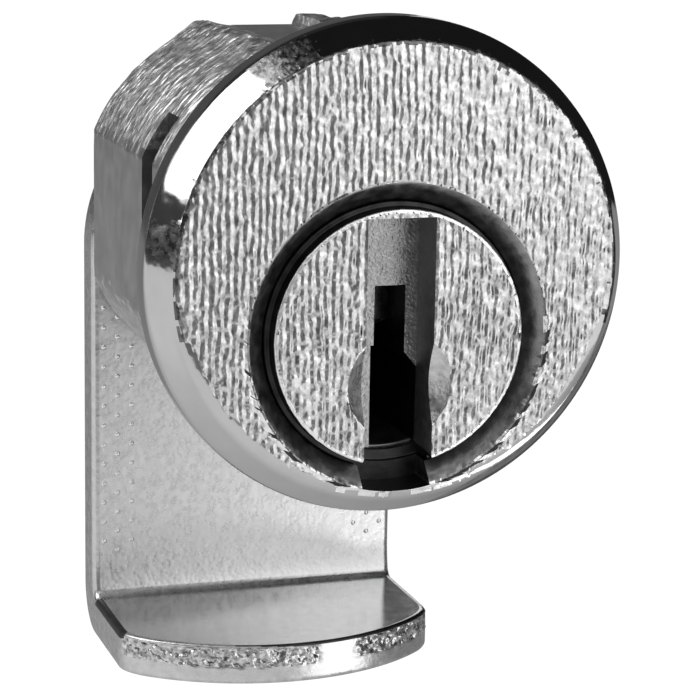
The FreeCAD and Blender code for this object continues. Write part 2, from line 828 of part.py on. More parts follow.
def check_model(pieces):
    """Stops if any object of the document failed or any sub-part has no sound shape."""
    for item in doc.Objects:
        if "Invalid" in item.State or "Error" in item.State:
            raise ValueError(f"{item.Label}: {item.State}")
    for piece in pieces:
        shape = piece.Shape
        if shape.isNull() or not shape.isValid():
            raise ValueError(f"{piece.Label}: no sound shape")
        print(f"{piece.Label}: {len(shape.Solids)} solid, {shape.Volume:.2f} cubic mm")


def write_pieces(pieces):
    os.makedirs("parts", exist_ok=True)
    for piece in pieces:
        piece.Shape.exportStep(f"parts/{piece.Label}.step")


pieces = [build_housing(), build_plug()]
for index, length in enumerate(key_pin_lengths):
    pieces.append(build_key_pin(index, length))
    pieces.append(build_driver_pin(index))
    pieces.append(build_pin_spring(index))
pieces.append(build_chamber_cover())
pieces.append(build_plug_clip())
pieces.append(build_stop_washer())
pieces.append(build_cam())
pieces.append(build_lock_washer())
pieces.append(build_cam_nut())
doc.recompute()
check_model(pieces)
write_pieces(pieces)
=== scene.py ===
# %% [markdown]
# # A mailbox lock, plated and ground
# The lock is a zinc casting with a turned plug in it and a bent steel cam behind it.
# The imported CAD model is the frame: it says where each piece is and how it moves.
# This lesson gives the pieces that show their real surfaces, as numpy grids in millimetres.

# %% Load the frame
import json
import math

import bmesh
import bpy
import numpy as np
from mathutils import Matrix, Vector


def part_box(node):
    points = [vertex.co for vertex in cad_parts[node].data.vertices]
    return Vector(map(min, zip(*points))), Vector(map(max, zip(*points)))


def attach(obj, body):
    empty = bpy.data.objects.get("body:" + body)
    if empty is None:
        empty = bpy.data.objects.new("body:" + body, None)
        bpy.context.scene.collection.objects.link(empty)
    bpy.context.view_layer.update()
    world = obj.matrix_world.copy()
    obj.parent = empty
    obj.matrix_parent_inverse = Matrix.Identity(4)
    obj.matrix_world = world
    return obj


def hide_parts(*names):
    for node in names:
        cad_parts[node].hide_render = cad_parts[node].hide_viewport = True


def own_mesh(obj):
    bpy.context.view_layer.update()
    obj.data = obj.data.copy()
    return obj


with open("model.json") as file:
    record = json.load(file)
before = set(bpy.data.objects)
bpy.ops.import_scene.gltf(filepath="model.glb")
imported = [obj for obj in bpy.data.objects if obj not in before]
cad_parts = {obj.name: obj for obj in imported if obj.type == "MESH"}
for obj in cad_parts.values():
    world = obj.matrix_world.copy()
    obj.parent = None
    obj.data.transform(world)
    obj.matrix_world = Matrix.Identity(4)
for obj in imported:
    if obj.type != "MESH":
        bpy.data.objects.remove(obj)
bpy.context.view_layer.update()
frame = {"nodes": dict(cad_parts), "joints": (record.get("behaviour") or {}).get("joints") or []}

# %% [markdown]
# ## Measures
# A piece can only sit right if it takes its place from the frame. The boxes of the CAD nodes
# give the outer sizes, and the joint that turns the plug gives its axis. What a box can't
# give, such as the width of a groove, is a named value here, in millimetres.

# %% Sizes from the frame
MM = 0.001


def corners(node):
    """Lowest and highest corner of a CAD node, in millimetres."""
    low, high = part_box(node)
    return np.array(low) / MM, np.array(high) / MM


def joint_named(name):
    """The record of one joint of the frame."""
    return next(joint for joint in frame["joints"] if joint["name"] == name)


body_low, body_high = corners("lock_body")
plug_low, plug_high = corners("plug")
cam_low, cam_high = corners("cam")
nut_low, nut_high = corners("cam_nut")
split_low, split_high = corners("lock_washer")
AXIS_Z = joint_named("plug_turn")["pos_m"][2] / MM
HEAD_RADIUS = body_high[0]
FACE_Y = body_low[1]
BARREL_END = body_high[1]
PLUG_FACE_Y = plug_low[1]
TAIL_END = plug_high[1]
FLANGE_RADIUS = plug_high[0]
print("head radius", HEAD_RADIUS, "plug axis at z", AXIS_Z, "flange radius", FLANGE_RADIUS)

# %% Sizes that the boxes can't give
FACE_RADIUS = 10.15
BEVEL_DEPTH = 1.6
BACK_EDGE = 0.2
RING_RADIUS = 6.9
RING_DEPTH = 0.85
SEAT_DEPTH = 2.15
NOTCH_HALF = 1.575
NOTCH_DEPTH = 1.9
RUNNING_GAP = 0.03
PLUG_FACE_RADIUS = 5.75
PLUG_STEP_DEPTH = 0.7
PLUG_RADIUS = 5.45
BARREL_RADIUS = 9.525
FLAT_HALF = 8.75
GROOVE_HALF = 7.5
GROOVE_FRONT = 6.5
GROOVE_WIDTH = 2.0

# %% [markdown]
# ## Tools for surfaces
# Each surface is a grid of points: a shape is a function of two numbers, worked out for the
# whole grid at once. Grids that share an edge are merged there, so that each piece is closed.
# Wear is never even, so most shapes get smooth random heights too. In
# `rough(x, z, (2.3, 6.0), 3)` the patches are 2.3 by 6 mm, and 3 is the seed.

# %% Smooth random heights
TABLE_SIZE = 128


def rough(u, v, patch, seed):
    """Heights from 0 to 1: a table of seeded values, one to a patch, eased from corner to corner."""
    table = np.random.default_rng(seed).random((TABLE_SIZE, TABLE_SIZE))
    u, v = u / patch[0], v / patch[1]
    i, j = np.floor(u).astype(int), np.floor(v).astype(int)
    a, b = u - i, v - j
    a, b = a * a * (3 - 2 * a), b * b * (3 - 2 * b)
    i, j, k, l = (number % TABLE_SIZE for number in (i, j, i + 1, j + 1))
    low = table[i, j] * (1 - a) + table[k, j] * a
    high = table[i, l] * (1 - a) + table[k, l] * a
    return low * (1 - b) + high * b


def rough_turn(angles, per_radian, row, seed):
    """Heights along a circle: so many patches to a radian, all from one row of the table."""
    return rough(angles * per_radian, np.full_like(angles, row), (1, 1), seed)


def ease(value, start, end):
    """0 up to start and 1 past end, with a smooth rise between them."""
    share = np.clip((value - start) / (end - start), 0, 1)
    return share * share * (3 - 2 * share)


def hump(value, rise, fall):
    """Eases up from 0 to 1 over one stretch and back to 0 over another."""
    return ease(value, *rise) * (1 - ease(value, *fall))


print("heights at three places:", rough(np.array([0.2, 1.7, 9.1]), np.array([0.5, 2.2, 4.4]), (1, 1), 1))

# %% From grids to a closed piece
ARC_LIMIT = 2.2


def quads(rows, columns, ring=False):
    """Corner numbers of the squares in a grid of points; ring joins the last column to the first."""
    across = columns if ring else columns - 1
    i, j = np.meshgrid(np.arange(rows - 1), np.arange(across), indexing="ij")
    k = (j + 1) % columns
    near, far = i * columns, (i + 1) * columns
    return np.stack([near + j, near + k, far + k, far + j], axis=-1).reshape(-1, 4)


class Sheets:
    """Collects grids of points for one piece: each has a finish number for its squares."""

    def __init__(self):
        self.points, self.squares, self.finishes, self.count = [], [], [], 0

    def add(self, x, y, z, finish=0, ring=False):
        """Adds a grid given as three arrays of rows by columns; finish is one or one per square."""
        x, y, z = np.broadcast_arrays(x, y, z)
        rows, columns = x.shape
        self.points.append(np.stack([x, y, z], axis=-1).reshape(-1, 3))
        found = quads(rows, columns, ring)
        self.squares.append(found + self.count)
        self.finishes.append(np.broadcast_to(np.ravel(finish), len(found)).astype(np.int32))
        self.count += rows * columns

    def lid(self, grid, row, centre):
        """Closes one row of a ring-shaped grid with a fan of squares to its centre."""
        fan = [np.stack([part[row], np.full_like(part[row], at)]) for part, at in zip(grid, centre)]
        self.add(*fan, ring=True)


def make_piece(name, sheets, body, finishes, stands_for=(), crease=32, weld=0.0008):
    """Builds the mesh, welds its grids, turns its faces outwards and lets it ride on its body."""
    points = np.concatenate(sheets.points) * MM
    squares = np.concatenate(sheets.squares).astype(np.int32)
    mesh = bpy.data.meshes.new(name)
    mesh.vertices.add(len(points))
    mesh.vertices.foreach_set("co", points.astype(np.float32).ravel())
    mesh.loops.add(squares.size)
    mesh.loops.foreach_set("vertex_index", squares.ravel())
    mesh.polygons.add(len(squares))
    mesh.polygons.foreach_set("loop_start", np.arange(0, squares.size, 4, dtype=np.int32))
    mesh.polygons.foreach_set("material_index", np.concatenate(sheets.finishes))
    mesh.update(calc_edges=True)
    work = bmesh.new()
    work.from_mesh(mesh)
    bmesh.ops.remove_doubles(work, verts=work.verts, dist=weld * MM)
    bmesh.ops.dissolve_degenerate(work, edges=work.edges, dist=weld * MM / 4)
    bmesh.ops.recalc_face_normals(work, faces=work.faces)
    open_edges = sum(1 for edge in work.edges if not edge.is_manifold)
    triangles = sum(len(face.verts) - 2 for face in work.faces)
    work.to_mesh(mesh)
    work.free()
    mesh.shade_smooth()
    mesh.set_sharp_from_angle(angle=math.radians(crease))
    for finish in finishes:
        mesh.materials.append(finish)
    piece = bpy.data.objects.new(name, mesh)
    bpy.context.scene.collection.objects.link(piece)
    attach(piece, body)
    if stands_for:
        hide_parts(*stands_for)
    print(f"{name}: {triangles} triangles, {open_edges} open edges")
    return piece


def rounded(corner_list, radius, steps=4):
    """A profile through corners, each rounded by an arc of about that radius.

    An arc takes at most one part in ARC_LIMIT of each line beside it.
    """
    places = [np.array(corner, float) for corner in corner_list]
    made = [places[0]]
    for before, here, after in zip(places, places[1:], places[2:]):
        back, ahead = before - here, after - here
        back_length, ahead_length = np.linalg.norm(back), np.linalg.norm(ahead)
        reach = min(radius, back_length / ARC_LIMIT, ahead_length / ARC_LIMIT)
        start, end = here + back / back_length * reach, here + ahead / ahead_length * reach
        for share in np.linspace(0, 1, steps + 1):
            made.append(start * (1 - share) ** 2 + 2 * here * share * (1 - share) + end * share ** 2)
    made.append(places[-1])
    return np.array(made)


def full_turn(count):
    """Angles of so many places round a circle."""
    return np.linspace(0, 2 * np.pi, count, endpoint=False)


def about_axis(radius, y, angles):
    """Points round the plug's axis, at a radius and an angle from the top."""
    return radius * np.sin(angles), y, AXIS_Z + radius * np.cos(angles)


print("points in a square corner's profile:", len(rounded([(0, 0), (1, 0), (1, 1)], 0.2)))

# %% [markdown]
# ## Metal finishes
# Every finish is the same bright metal with another surface on it. Colour and roughness vary
# a little from place to place, and the fine relief that a grid can't hold comes from a bump.
# Some finishes are painted dark as shade, and one is painted white as a highlight.
# The patterns read Object coordinates, so they stay on the piece when it turns.

# %% A metal with its own relief
EVEN = (1, 1, 1)
UPRIGHT = (1, 1, 0.4)
ROUND_BARREL = (0.3, 1, 0.3)
PATCH_DETAIL = 5.0


def new_material(name):
    """A material that uses nodes, with its nodes and links at hand."""
    made = bpy.data.materials.new(name)
    made.use_nodes = True
    return made, made.node_tree.nodes, made.node_tree.links


def new_node(nodes, kind, inputs=(), operation=None):
    """A shader node of that kind, with its operation and the values of some inputs."""
    made = nodes.new("ShaderNode" + kind)
    if operation:
        made.operation = operation
    for socket, value in inputs:
        made.inputs[socket].default_value = value
    return made


def noise_in(nodes, links, place, stretch, size, detail):
    """Noise in Object coordinates, in patches of that size before they are stretched."""
    mapping = new_node(nodes, "Mapping", [("Scale", stretch)])
    noise = new_node(nodes, "TexNoise", [("Scale", 1 / (size * MM)), ("Detail", detail)])
    links.new(place.outputs["Object"], mapping.inputs["Vector"])
    links.new(mapping.outputs["Vector"], noise.inputs["Vector"])
    return noise.outputs["Fac"]


def swing(nodes, links, source, middle, spread):
    """A value that follows noise from middle - spread to middle + spread."""
    ramp = new_node(nodes, "MapRange", [
        ("From Min", 0.3), ("From Max", 0.7), ("To Min", middle - spread), ("To Max", middle + spread)])
    links.new(source, ramp.inputs["Value"])
    return ramp.outputs["Result"]


def new_metal(name, colour, colour_spread, roughness, roughness_spread, patch_size, layers,
              patch_stretch=EVEN):
    """Bright metal with patchy colour and roughness and one bump on another.

    Each layer is a size, a height, a detail and, where it isn't even, a stretch.
    """
    made, nodes, links = new_material(name)
    shader = nodes["Principled BSDF"]
    shader.inputs["Metallic"].default_value = 1.0
    place = new_node(nodes, "TexCoord")
    patches = noise_in(nodes, links, place, patch_stretch, patch_size, PATCH_DETAIL)
    grey = new_node(nodes, "CombineColor")
    tone = swing(nodes, links, patches, colour, colour_spread)
    for channel in ("Red", "Green", "Blue"):
        links.new(tone, grey.inputs[channel])
    links.new(grey.outputs["Color"], shader.inputs["Base Color"])
    links.new(swing(nodes, links, patches, roughness, roughness_spread), shader.inputs["Roughness"])
    relief = None
    for size, height, detail, *stretch in layers:
        noise = noise_in(nodes, links, place, stretch[0] if stretch else EVEN, size, detail)
        bump = new_node(nodes, "Bump", [("Distance", height * MM)])
        links.new(noise, bump.inputs["Height"])
        if relief is not None:
            links.new(relief, bump.inputs["Normal"])
        relief = bump.outputs["Normal"]
    links.new(relief, shader.inputs["Normal"])
    return made


ground = new_metal("ground_face", 0.63, 0.31, 0.22, 0.06, 0.26,
                   [(0.33, 0.045, 0.5, UPRIGHT), (0.25, 0.03, 0.5)], patch_stretch=(1, 1, 0.55))
polished = new_metal("polished_plate", 0.56, 0.02, 0.1, 0.03, 1.4, [(1.1, 0.016, 2), (0.25, 0.0015, 2)])
# Dark and grey patches that paint shade on the bevel; the ring and gap metals below paint shade too.
dark_patch = new_metal("dark_patch", 0.15, 0.08, 0.3, 0.08, 0.4, [(0.5, 0.03, 1), (0.2, 0.03, 1)])
grey_patch = new_metal("grey_patch", 0.3, 0.16, 0.36, 0.06, 0.3, [(0.5, 0.02, 1), (0.18, 0.02, 1)])
ring_shade = new_metal("ring_shade", 0.29, 0.1, 0.36, 0.06, 0.5, [(0.3, 0.016, 2)])
gap_shade = new_metal("gap_shade", 0.05, 0.02, 0.4, 0.05, 0.8, [(0.3, 0.01, 2)])
# A white metal that paints highlights on burrs, the plug's rim and the cam's bumps.
painted_highlight = new_metal("painted_highlight_metal", 0.95, 0.04, 0.34, 0.08, 0.3, [(0.22, 0.03, 1)])
cast = new_metal("cast_plate", 0.5, 0.04, 0.33, 0.05, 1.0, [(0.3, 0.006, 3)])
side_plate = new_metal("side_plate", 0.45, 0.02, 0.16, 0.03, 1.5, [(1.0, 0.006, 2)])
scraped = new_metal("scraped_barrel", 0.54, 0.15, 0.38, 0.08, 0.5,
                    [(0.34, 0.12, 1, ROUND_BARREL), (0.3, 0.05, 1)])
groove_shade = new_metal("groove_shade", 0.06, 0.03, 0.4, 0.05, 0.8, [(0.3, 0.01, 3)])
grainy = new_metal("grainy_floor", 0.42, 0.08, 0.3, 0.05, 0.4, [(0.13, 0.03, 1)])
# The channel's walls are painted darker, as shade.
channel_wall_shade = new_metal("slot_wall", 0.26, 0.04, 0.5, 0.05, 0.4, [(0.2, 0.01, 2)])
dimple_plate = new_metal("dimple_plate", 0.56, 0.14, 0.3, 0.05, 0.4, [(0.2, 0.03, 2)])
# The inside of the bore and the keyway are painted near black, as shade.
bore_shade = new_metal("bore_shade_metal", 0.025, 0.01, 0.55, 0.05, 0.5, [(0.3, 0.01, 2)])
sheet_metal = new_metal("zinc_sheet", 0.62, 0.07, 0.28, 0.05, 0.4, [(0.9, 0.01, 1), (0.2, 0.006, 0)])
tab_gloss = new_metal("glossy_tab", 0.7, 0.05, 0.16, 0.03, 0.6, [(1.2, 0.005, 2), (0.3, 0.0015, 1)])
torn = new_metal("torn_edge", 0.56, 0.38, 0.22, 0.08, 0.26, [(0.3, 0.13, 0), (0.16, 0.03, 0)])
turned = new_metal("turned_steel", 0.55, 0.04, 0.28, 0.05, 0.8, [(0.25, 0.006, 3)])
dark_steel = new_metal("dark_steel", 0.25, 0.04, 0.35, 0.05, 0.8, [(0.25, 0.006, 3)])
print("finishes:", [made.name for made in bpy.data.materials])

# %% [markdown]
# ## The ground face
# The head and the plug were ground upright together, so their faces carry the same marks:
# ridges about a third of a millimetre apart, which wander and break. They are real relief
# here, because in raking light they cast the white and dark lines that the eye sees first.

# %% Heights of the grinding marks
GRAIN_PITCH = 0.35
GRAIN_HEIGHT = 0.034
WAVE_SHARE = 0.44
SPECK_SHARE = 0.95


def grain(x, z):
    """Waves across x, bent by slow noise and weakened by quick noise, plus fine specks."""
    wander = 0.9 * rough(x, z, (2.3, 6.0), 3) + 0.3 * rough(x, z, (0.6, 0.6), 4)
    wave = np.sin(2 * np.pi * (x / GRAIN_PITCH + wander))
    broken = 0.35 + 0.95 * rough(x, z, (0.37, 0.6), 5)
    specks = rough(x, z, (0.19, 0.24), 6) - 0.5
    return GRAIN_HEIGHT * (WAVE_SHARE * wave * broken + SPECK_SHARE * specks)


print("marks rise and fall by", round(float(np.ptp(grain(np.linspace(-5, 5, 500), np.zeros(500)))), 4), "mm")

# %% [markdown]
# ## The head
# The head is a thick ring: a flat face, a polished bevel, a short side and a flat back, with
# the plug's bore through it below the middle. A profile carried round would make it, but the
# outer circle and the bore have different centres. So each line of the grid has its own
# centre and radius, and slides from one circle to the other across the face.

# %% Lines around the head
HEAD_LINES = 700
EDGE_STEP = 1e-5
STRAIGHT_FADE = (2.0, 3.4)
notch_turn = math.asin(NOTCH_HALF / RING_RADIUS)
notch_low, notch_high = math.pi - notch_turn, math.pi + notch_turn


def lines_round(count, edges):
    """Angles from the top, clockwise seen from the front, with each sharp edge twice."""
    kept = [angle for angle in full_turn(count) if min(abs(angle - edge) for edge in edges) > 2 / count]
    sharp = [edge + side * EDGE_STEP for edge in edges for side in (-1, 1)]
    return np.sort(np.array(kept + sharp))


def around(radius, centre_z, angles):
    """Points on a circle; below, near the notch, lines run straight up, as its walls do."""
    x = radius * np.sin(angles)
    outer = RING_RADIUS * np.sin(angles)
    near_notch = (np.cos(angles) < 0) & (radius <= RING_RADIUS)
    straight = np.where(near_notch, 1 - ease(np.abs(outer), *STRAIGHT_FADE), 0)
    x = x * (1 - straight) + outer * straight
    flat = np.sqrt(np.maximum(radius ** 2 - x ** 2, 0))
    z = np.where(straight > 0, -flat, radius * np.cos(angles))
    return x, centre_z + z


head_angles = lines_round(HEAD_LINES, [notch_low, notch_high])
print("lines around the head:", len(head_angles))

# %% Grid of the face, its rounded rim and the bevel
FACE_ROWS = 60
BEVEL_ROWS = 20
RIM_ROUND = 0.35
BORE_WALL = 1.2
BEVEL_WIDTH = HEAD_RADIUS - FACE_RADIUS
BEVEL_FOOT = FACE_Y + BEVEL_DEPTH
BEVEL_BREAK = 0.35
BEVEL_SPAN = (0.3, 0.85)
outside = rounded([
    (FACE_RADIUS - RIM_ROUND, FACE_Y),
    (FACE_RADIUS, FACE_Y),
    (FACE_RADIUS + BEVEL_WIDTH * BEVEL_BREAK, FACE_Y + BEVEL_DEPTH * BEVEL_BREAK),
    (HEAD_RADIUS, BEVEL_FOOT),
    (HEAD_RADIUS, -BACK_EDGE),
    (HEAD_RADIUS - BACK_EDGE, 0.0),
    (BARREL_RADIUS - BORE_WALL, 0.0),
], RIM_ROUND, steps=6)
bevel_start = int(np.argmax(outside[:, 0] > FACE_RADIUS + BEVEL_WIDTH * BEVEL_SPAN[0]))
bevel_end = int(np.argmax(outside[:, 1] > FACE_Y + BEVEL_DEPTH * BEVEL_SPAN[1]))
bevel_line = np.linspace(outside[bevel_start], outside[bevel_end], BEVEL_ROWS)
outside = np.concatenate([outside[:bevel_start], bevel_line, outside[bevel_end + 1:]])[1:]

face_share = np.linspace(0, 1, FACE_ROWS)[:, None]
ring_x, ring_z = around(np.full_like(head_angles, RING_RADIUS), AXIS_Z, head_angles)
edge_x, edge_z = around(np.full_like(head_angles, FACE_RADIUS - RIM_ROUND), 0.0, head_angles)
rim_x, rim_z = around(outside[:, :1], 0.0, head_angles[None, :])
front_x = np.vstack([ring_x + (edge_x - ring_x) * face_share, rim_x])
front_z = np.vstack([ring_z + (edge_z - ring_z) * face_share, rim_z])
front_y = np.concatenate([np.full(FACE_ROWS, FACE_Y), outside[:, 1]])[:, None] + 0 * front_x
print("grid of the head's front:", front_x.shape)

# %% [markdown]
# The grinding marks stop at a ragged line near the rim. Along the lower half the rim was rolled
# off and polished smooth, so they stop earlier there. The bevel has dents on the left, and
# the countersink pushed up burrs along its lower edge.

# %% Relief of the head's front
BURR_REACH = 2.2
ROLLED_WIDTH = 0.62
ROLLED_DEPTH = 0.12
DENTED = ((281, 285), (290, 294))
DENT_DEPTH = 0.13
DASH_HEIGHT = 0.05
DASH_SPREAD = 0.1
row_number = np.arange(len(front_x))[:, None]
line_degrees = np.degrees(head_angles)[None, :]
from_middle = np.hypot(front_x, front_z)
past_ring = np.hypot(front_x, front_z - AXIS_Z) - RING_RADIUS
on_front = front_y < BEVEL_FOOT
low_half = np.cos(head_angles) < 0.1

fine_burr = 0.09 * (rough(front_x, front_z, (0.13, 0.24), 31) - 0.5)
burr = fine_burr + 0.12 * (rough(front_x, front_z, (0.3, 1.5), 32) - 0.5)
rolled = ease(-np.cos(head_angles), -0.2, 0.6)[None, :]
marks_end = from_middle + BURR_REACH * burr + ROLLED_WIDTH * rolled
marked = 1 - ease(marks_end, FACE_RADIUS - 0.02, FACE_RADIUS + 0.12)
marked = marked * ease(row_number, 0, 2) * on_front
front_y = front_y - grain(front_x, front_z) * marked

past_roll = np.clip((from_middle - FACE_RADIUS) / ROLLED_WIDTH + rolled, 0, 1)
roll_fade = (1 - ease(from_middle, FACE_RADIUS - 0.1, HEAD_RADIUS - 0.15)) * on_front
front_y = front_y + ROLLED_DEPTH * past_roll ** 2 * roll_fade

on_bevel = hump(from_middle, (FACE_RADIUS + 0.1, FACE_RADIUS + 0.3), (HEAD_RADIUS - 0.3, HEAD_RADIUS - 0.05))
dent = DENT_DEPTH * (rough(front_x, front_z, (0.5, 0.55), 36) - 0.5)
front_y = front_y + dent * on_bevel * hump(line_degrees, *DENTED)

dash = rough_turn(head_angles, 13, 0.5, 33) + 0.5 * rough_turn(head_angles, 40, 7.5, 34)
dashed = ((dash > 0.66 + 0.1 * np.sin(head_angles)) & low_half)[None, :]
front_y = front_y - DASH_HEIGHT * np.exp(-(past_ring / DASH_SPREAD) ** 2) * dashed * (row_number > 0)
print("deepest dent and highest mark:", front_y[:FACE_ROWS].max() - FACE_Y, FACE_Y - front_y.min())

# %% Finish of each square of the head's front
HEAD_FINISHES = [ground, polished, ring_shade, dark_patch, side_plate, painted_highlight, grey_patch, gap_shade]
GROUND, POLISHED, SHADE, DARK, SIDE, HIGHLIGHT, SANDY, GAP = range(8)
# Painted shade patches and the shaded rim lie between angles in degrees, clockwise from the top.
SHADE_PATCHES = (((276, 283.5), DARK), ((323, 330), SANDY), ((330, 338), DARK))
SHADED_RIM = ((92, 117), (153, 178))
RIM_BANDS = ((1.1, SHADE), (0.5, GAP))
DASH_WIDTH = 0.21
GAP_SHARE = 0.7
front_finish = np.full(front_x[:-1].shape, POLISHED)
wander = rough(front_x, front_z, (0.5, 0.5), 35) + rough(front_x, front_z, (0.15, 0.15), 39)
turn_at = line_degrees + 3 * (wander - 1)
# Dark and grey patches paint shade on the bevel at both ends of its bright reflection.
for (first, last), finish in SHADE_PATCHES:
    in_patch = (turn_at > first) & (turn_at < last) & (front_y < FACE_Y + BEVEL_DEPTH * 0.97)
    front_finish[in_patch[:-1]] = finish
front_finish[front_y[:-1] > BEVEL_FOOT + 0.1] = SIDE
# At the lower right the bevel's outer edge is painted in bands of shade, darkest outermost.
rim_share = hump(line_degrees, *SHADED_RIM)
in_shade = (rim_share > 0) & (front_y < BEVEL_FOOT + 0.15)
for width, finish in RIM_BANDS:
    in_band = in_shade & (from_middle > HEAD_RADIUS - width * rim_share)
    front_finish[in_band[:-1]] = finish
front_finish[(marked[:-1] + marked[1:]) / 2 > 0.45] = GROUND
# Dark bites break the face's edge round all but its lowest part.
bite = 0.3 * rough(front_x, front_z, (0.2, 0.34), 38) - 0.06
bitten = (np.abs(from_middle - FACE_RADIUS + bite - 0.04) < bite) & (np.cos(head_angles) > -0.25)
front_finish[bitten[:-1]] = DARK
# The burrs along the lower edge are painted white, as a highlight; between them a dark band is painted along
# the ring's edge as shade.
dash_edge = DASH_WIDTH * (0.4 + 1.2 * rough_turn(head_angles, 30, 3.5, 37))[None, :]
front_finish[dashed & (past_ring[:-1] < dash_edge)] = HIGHLIGHT
gap_edge = GAP_SHARE * dash_edge * (low_half & (np.abs(head_angles - np.pi) > notch_turn))
front_finish[~dashed & (past_ring[:-1] < gap_edge)] = GAP
head = Sheets()
head.add(front_x, front_y, front_z, front_finish, ring=True)
print("squares of each finish:", np.bincount(front_finish.ravel()).tolist())

# %% The ring round the plug, the bore and the notch for a thumbnail
LIP_HEIGHT = 0.09
BURRED_ROWS = 5
inside = rounded([
    (RING_RADIUS, FACE_Y),
    (RING_RADIUS - 0.07, FACE_Y + 0.04),
    (RING_RADIUS - 0.26, FACE_Y + 0.22),
    (FLANGE_RADIUS + RUNNING_GAP + 0.02, FACE_Y + RING_DEPTH),
    (FLANGE_RADIUS + RUNNING_GAP, FACE_Y + RING_DEPTH + 0.1),
    (FLANGE_RADIUS + RUNNING_GAP, FACE_Y + SEAT_DEPTH),
    (PLUG_RADIUS + 0.1, FACE_Y + SEAT_DEPTH),
], 0.09)
cone_x, cone_z = around(inside[:, :1], AXIS_Z, head_angles[None, :])
cone_y = inside[:, 1:] + 0 * cone_x
cone_depth = (cone_y - FACE_Y) / RING_DEPTH
lip = np.exp(-((cone_depth - 0.04) / 0.07) ** 2) * (cone_depth < 0.5)
ragged = rough_turn(head_angles, 34, 0.5, 33) + rough_turn(head_angles, 90, 7.5, 34) - 1
lower = ease(-np.cos(head_angles), -0.3, 0.5)
cone_y = cone_y - lip * (LIP_HEIGHT * ragged * (0.2 + 0.8 * lower))
in_notch = (head_angles > notch_low) & (head_angles < notch_high)
cone_y[1:, in_notch] = np.maximum(cone_y[1:, in_notch], FACE_Y + NOTCH_DEPTH)
cone_y[0] = front_y[0]
# Under each burr the ring's first rows are painted white as a highlight; the notch and the ring's deep part
# are painted dark as shade.
burred = (np.arange(len(cone_x) - 1) < BURRED_ROWS)[:, None] & dashed & ~in_notch
shaded = np.where(in_notch | (cone_y[:-1] > FACE_Y + RING_DEPTH), GAP, SHADE)
head.add(cone_x, cone_y, cone_z, np.where(burred, HIGHLIGHT, shaded), ring=True)
back_of_head = [np.stack([cone[-1], front[-1]]) for cone, front in
                ((cone_x, front_x), (cone_y, front_y), (cone_z, front_z))]
head.add(*back_of_head, SHADE, ring=True)
make_piece("head_casting", head, "housing", HEAD_FINISHES, ["lock_body"])

# %% [markdown]
# ## The barrel
# The barrel is a straight casting with two flats, a groove across them for the door clip and
# a channel along its top. Its outline is worked out once for a plain stretch and once for a
# stretch with the groove, with as many points, so the two join face to face.

# %% Outline of the barrel
CHANNEL_HALF = 1.6
CHANNEL_FLOOR = 8.05
CHANNEL_COVER = 8.85
CHANNEL_FLARE = 0.75
FLAT_POINTS = 34
CORNER_POINTS = 6


def spread(start, end, count):
    """Points on a straight line from start to end, without the last one."""
    return np.linspace(start, end, count, endpoint=False)


def on_circle(first, last, count):
    """Points on the barrel's circle between two angles from the top, without the last one."""
    angles = spread(first, last, count)
    return np.stack([BARREL_RADIUS * np.sin(angles), BARREL_RADIUS * np.cos(angles)], axis=1)


def barrel_outline(groove, channel):
    """One turn of the outline as x, z and how rough it is there; each stretch keeps its count."""
    flat = GROOVE_HALF if groove else FLAT_HALF
    widths = (GROOVE_HALF, FLAT_HALF, CHANNEL_HALF + CHANNEL_FLARE / 5, CHANNEL_HALF + CHANNEL_FLARE * 2)
    turns = [math.asin(width / BARREL_RADIUS) for width in widths]
    top_z, flat_z, right_z, left_z = (BARREL_RADIUS * math.cos(angle) for angle in turns)
    top_turn, _, right_turn, left_turn = turns
    from_edge = flat_z * (1 - np.abs(np.linspace(-1, 1, FLAT_POINTS)))
    flat_edges = 0.35 * (1 - ease(from_edge, 0.1, 0.7))
    parts, roughs = [], []

    def take(points, rough_here):
        parts.append(points)
        roughs.append(np.broadcast_to(rough_here, len(points)))

    def corner(first, last, sign):
        x = np.full(CORNER_POINTS, sign * flat)
        straight = np.stack([x, spread(first[1], last[1], CORNER_POINTS)], axis=1)
        curved = on_circle(math.atan2(*first), math.atan2(*last), CORNER_POINTS)
        take(straight if groove else curved, 0.3)

    if channel:
        take(spread((-CHANNEL_HALF, CHANNEL_FLOOR), (CHANNEL_HALF, CHANNEL_FLOOR), 8), 0.0)
        take(spread((CHANNEL_HALF, CHANNEL_FLOOR), (CHANNEL_HALF, CHANNEL_COVER), 3), 0.0)
        take(spread((CHANNEL_HALF, CHANNEL_COVER), (widths[2], right_z), 5), 0.2)
    else:
        take(on_circle(-left_turn, right_turn, 16), 0.3)
    take(on_circle(right_turn, top_turn, 62), 1.0)
    arcs = (np.pi - top_turn, np.pi + top_turn, 120), (-top_turn, -left_turn, 54)
    for side, arc in zip((1, -1), arcs):
        corner((side * GROOVE_HALF, side * top_z), (side * FLAT_HALF, side * flat_z), side)
        take(spread((side * flat, side * flat_z), (side * flat, -side * flat_z), FLAT_POINTS), flat_edges)
        corner((side * FLAT_HALF, -side * flat_z), (side * GROOVE_HALF, -side * top_z), side)
        take(on_circle(*arc), 1.0)
    if channel:
        take(spread((-widths[3], left_z), (-CHANNEL_HALF, CHANNEL_COVER), 5), 0.2)
        take(spread((-CHANNEL_HALF, CHANNEL_COVER), (-CHANNEL_HALF, CHANNEL_FLOOR), 3), 0.0)
    else:
        take(on_circle(-left_turn, -left_turn + 1e-6, 8), 0.3)
    points = np.concatenate(parts)
    return points[:, 0], points[:, 1], np.concatenate(roughs)


plain_outline = barrel_outline(False, True)
print("points in the barrel's outline:", len(plain_outline[0]))

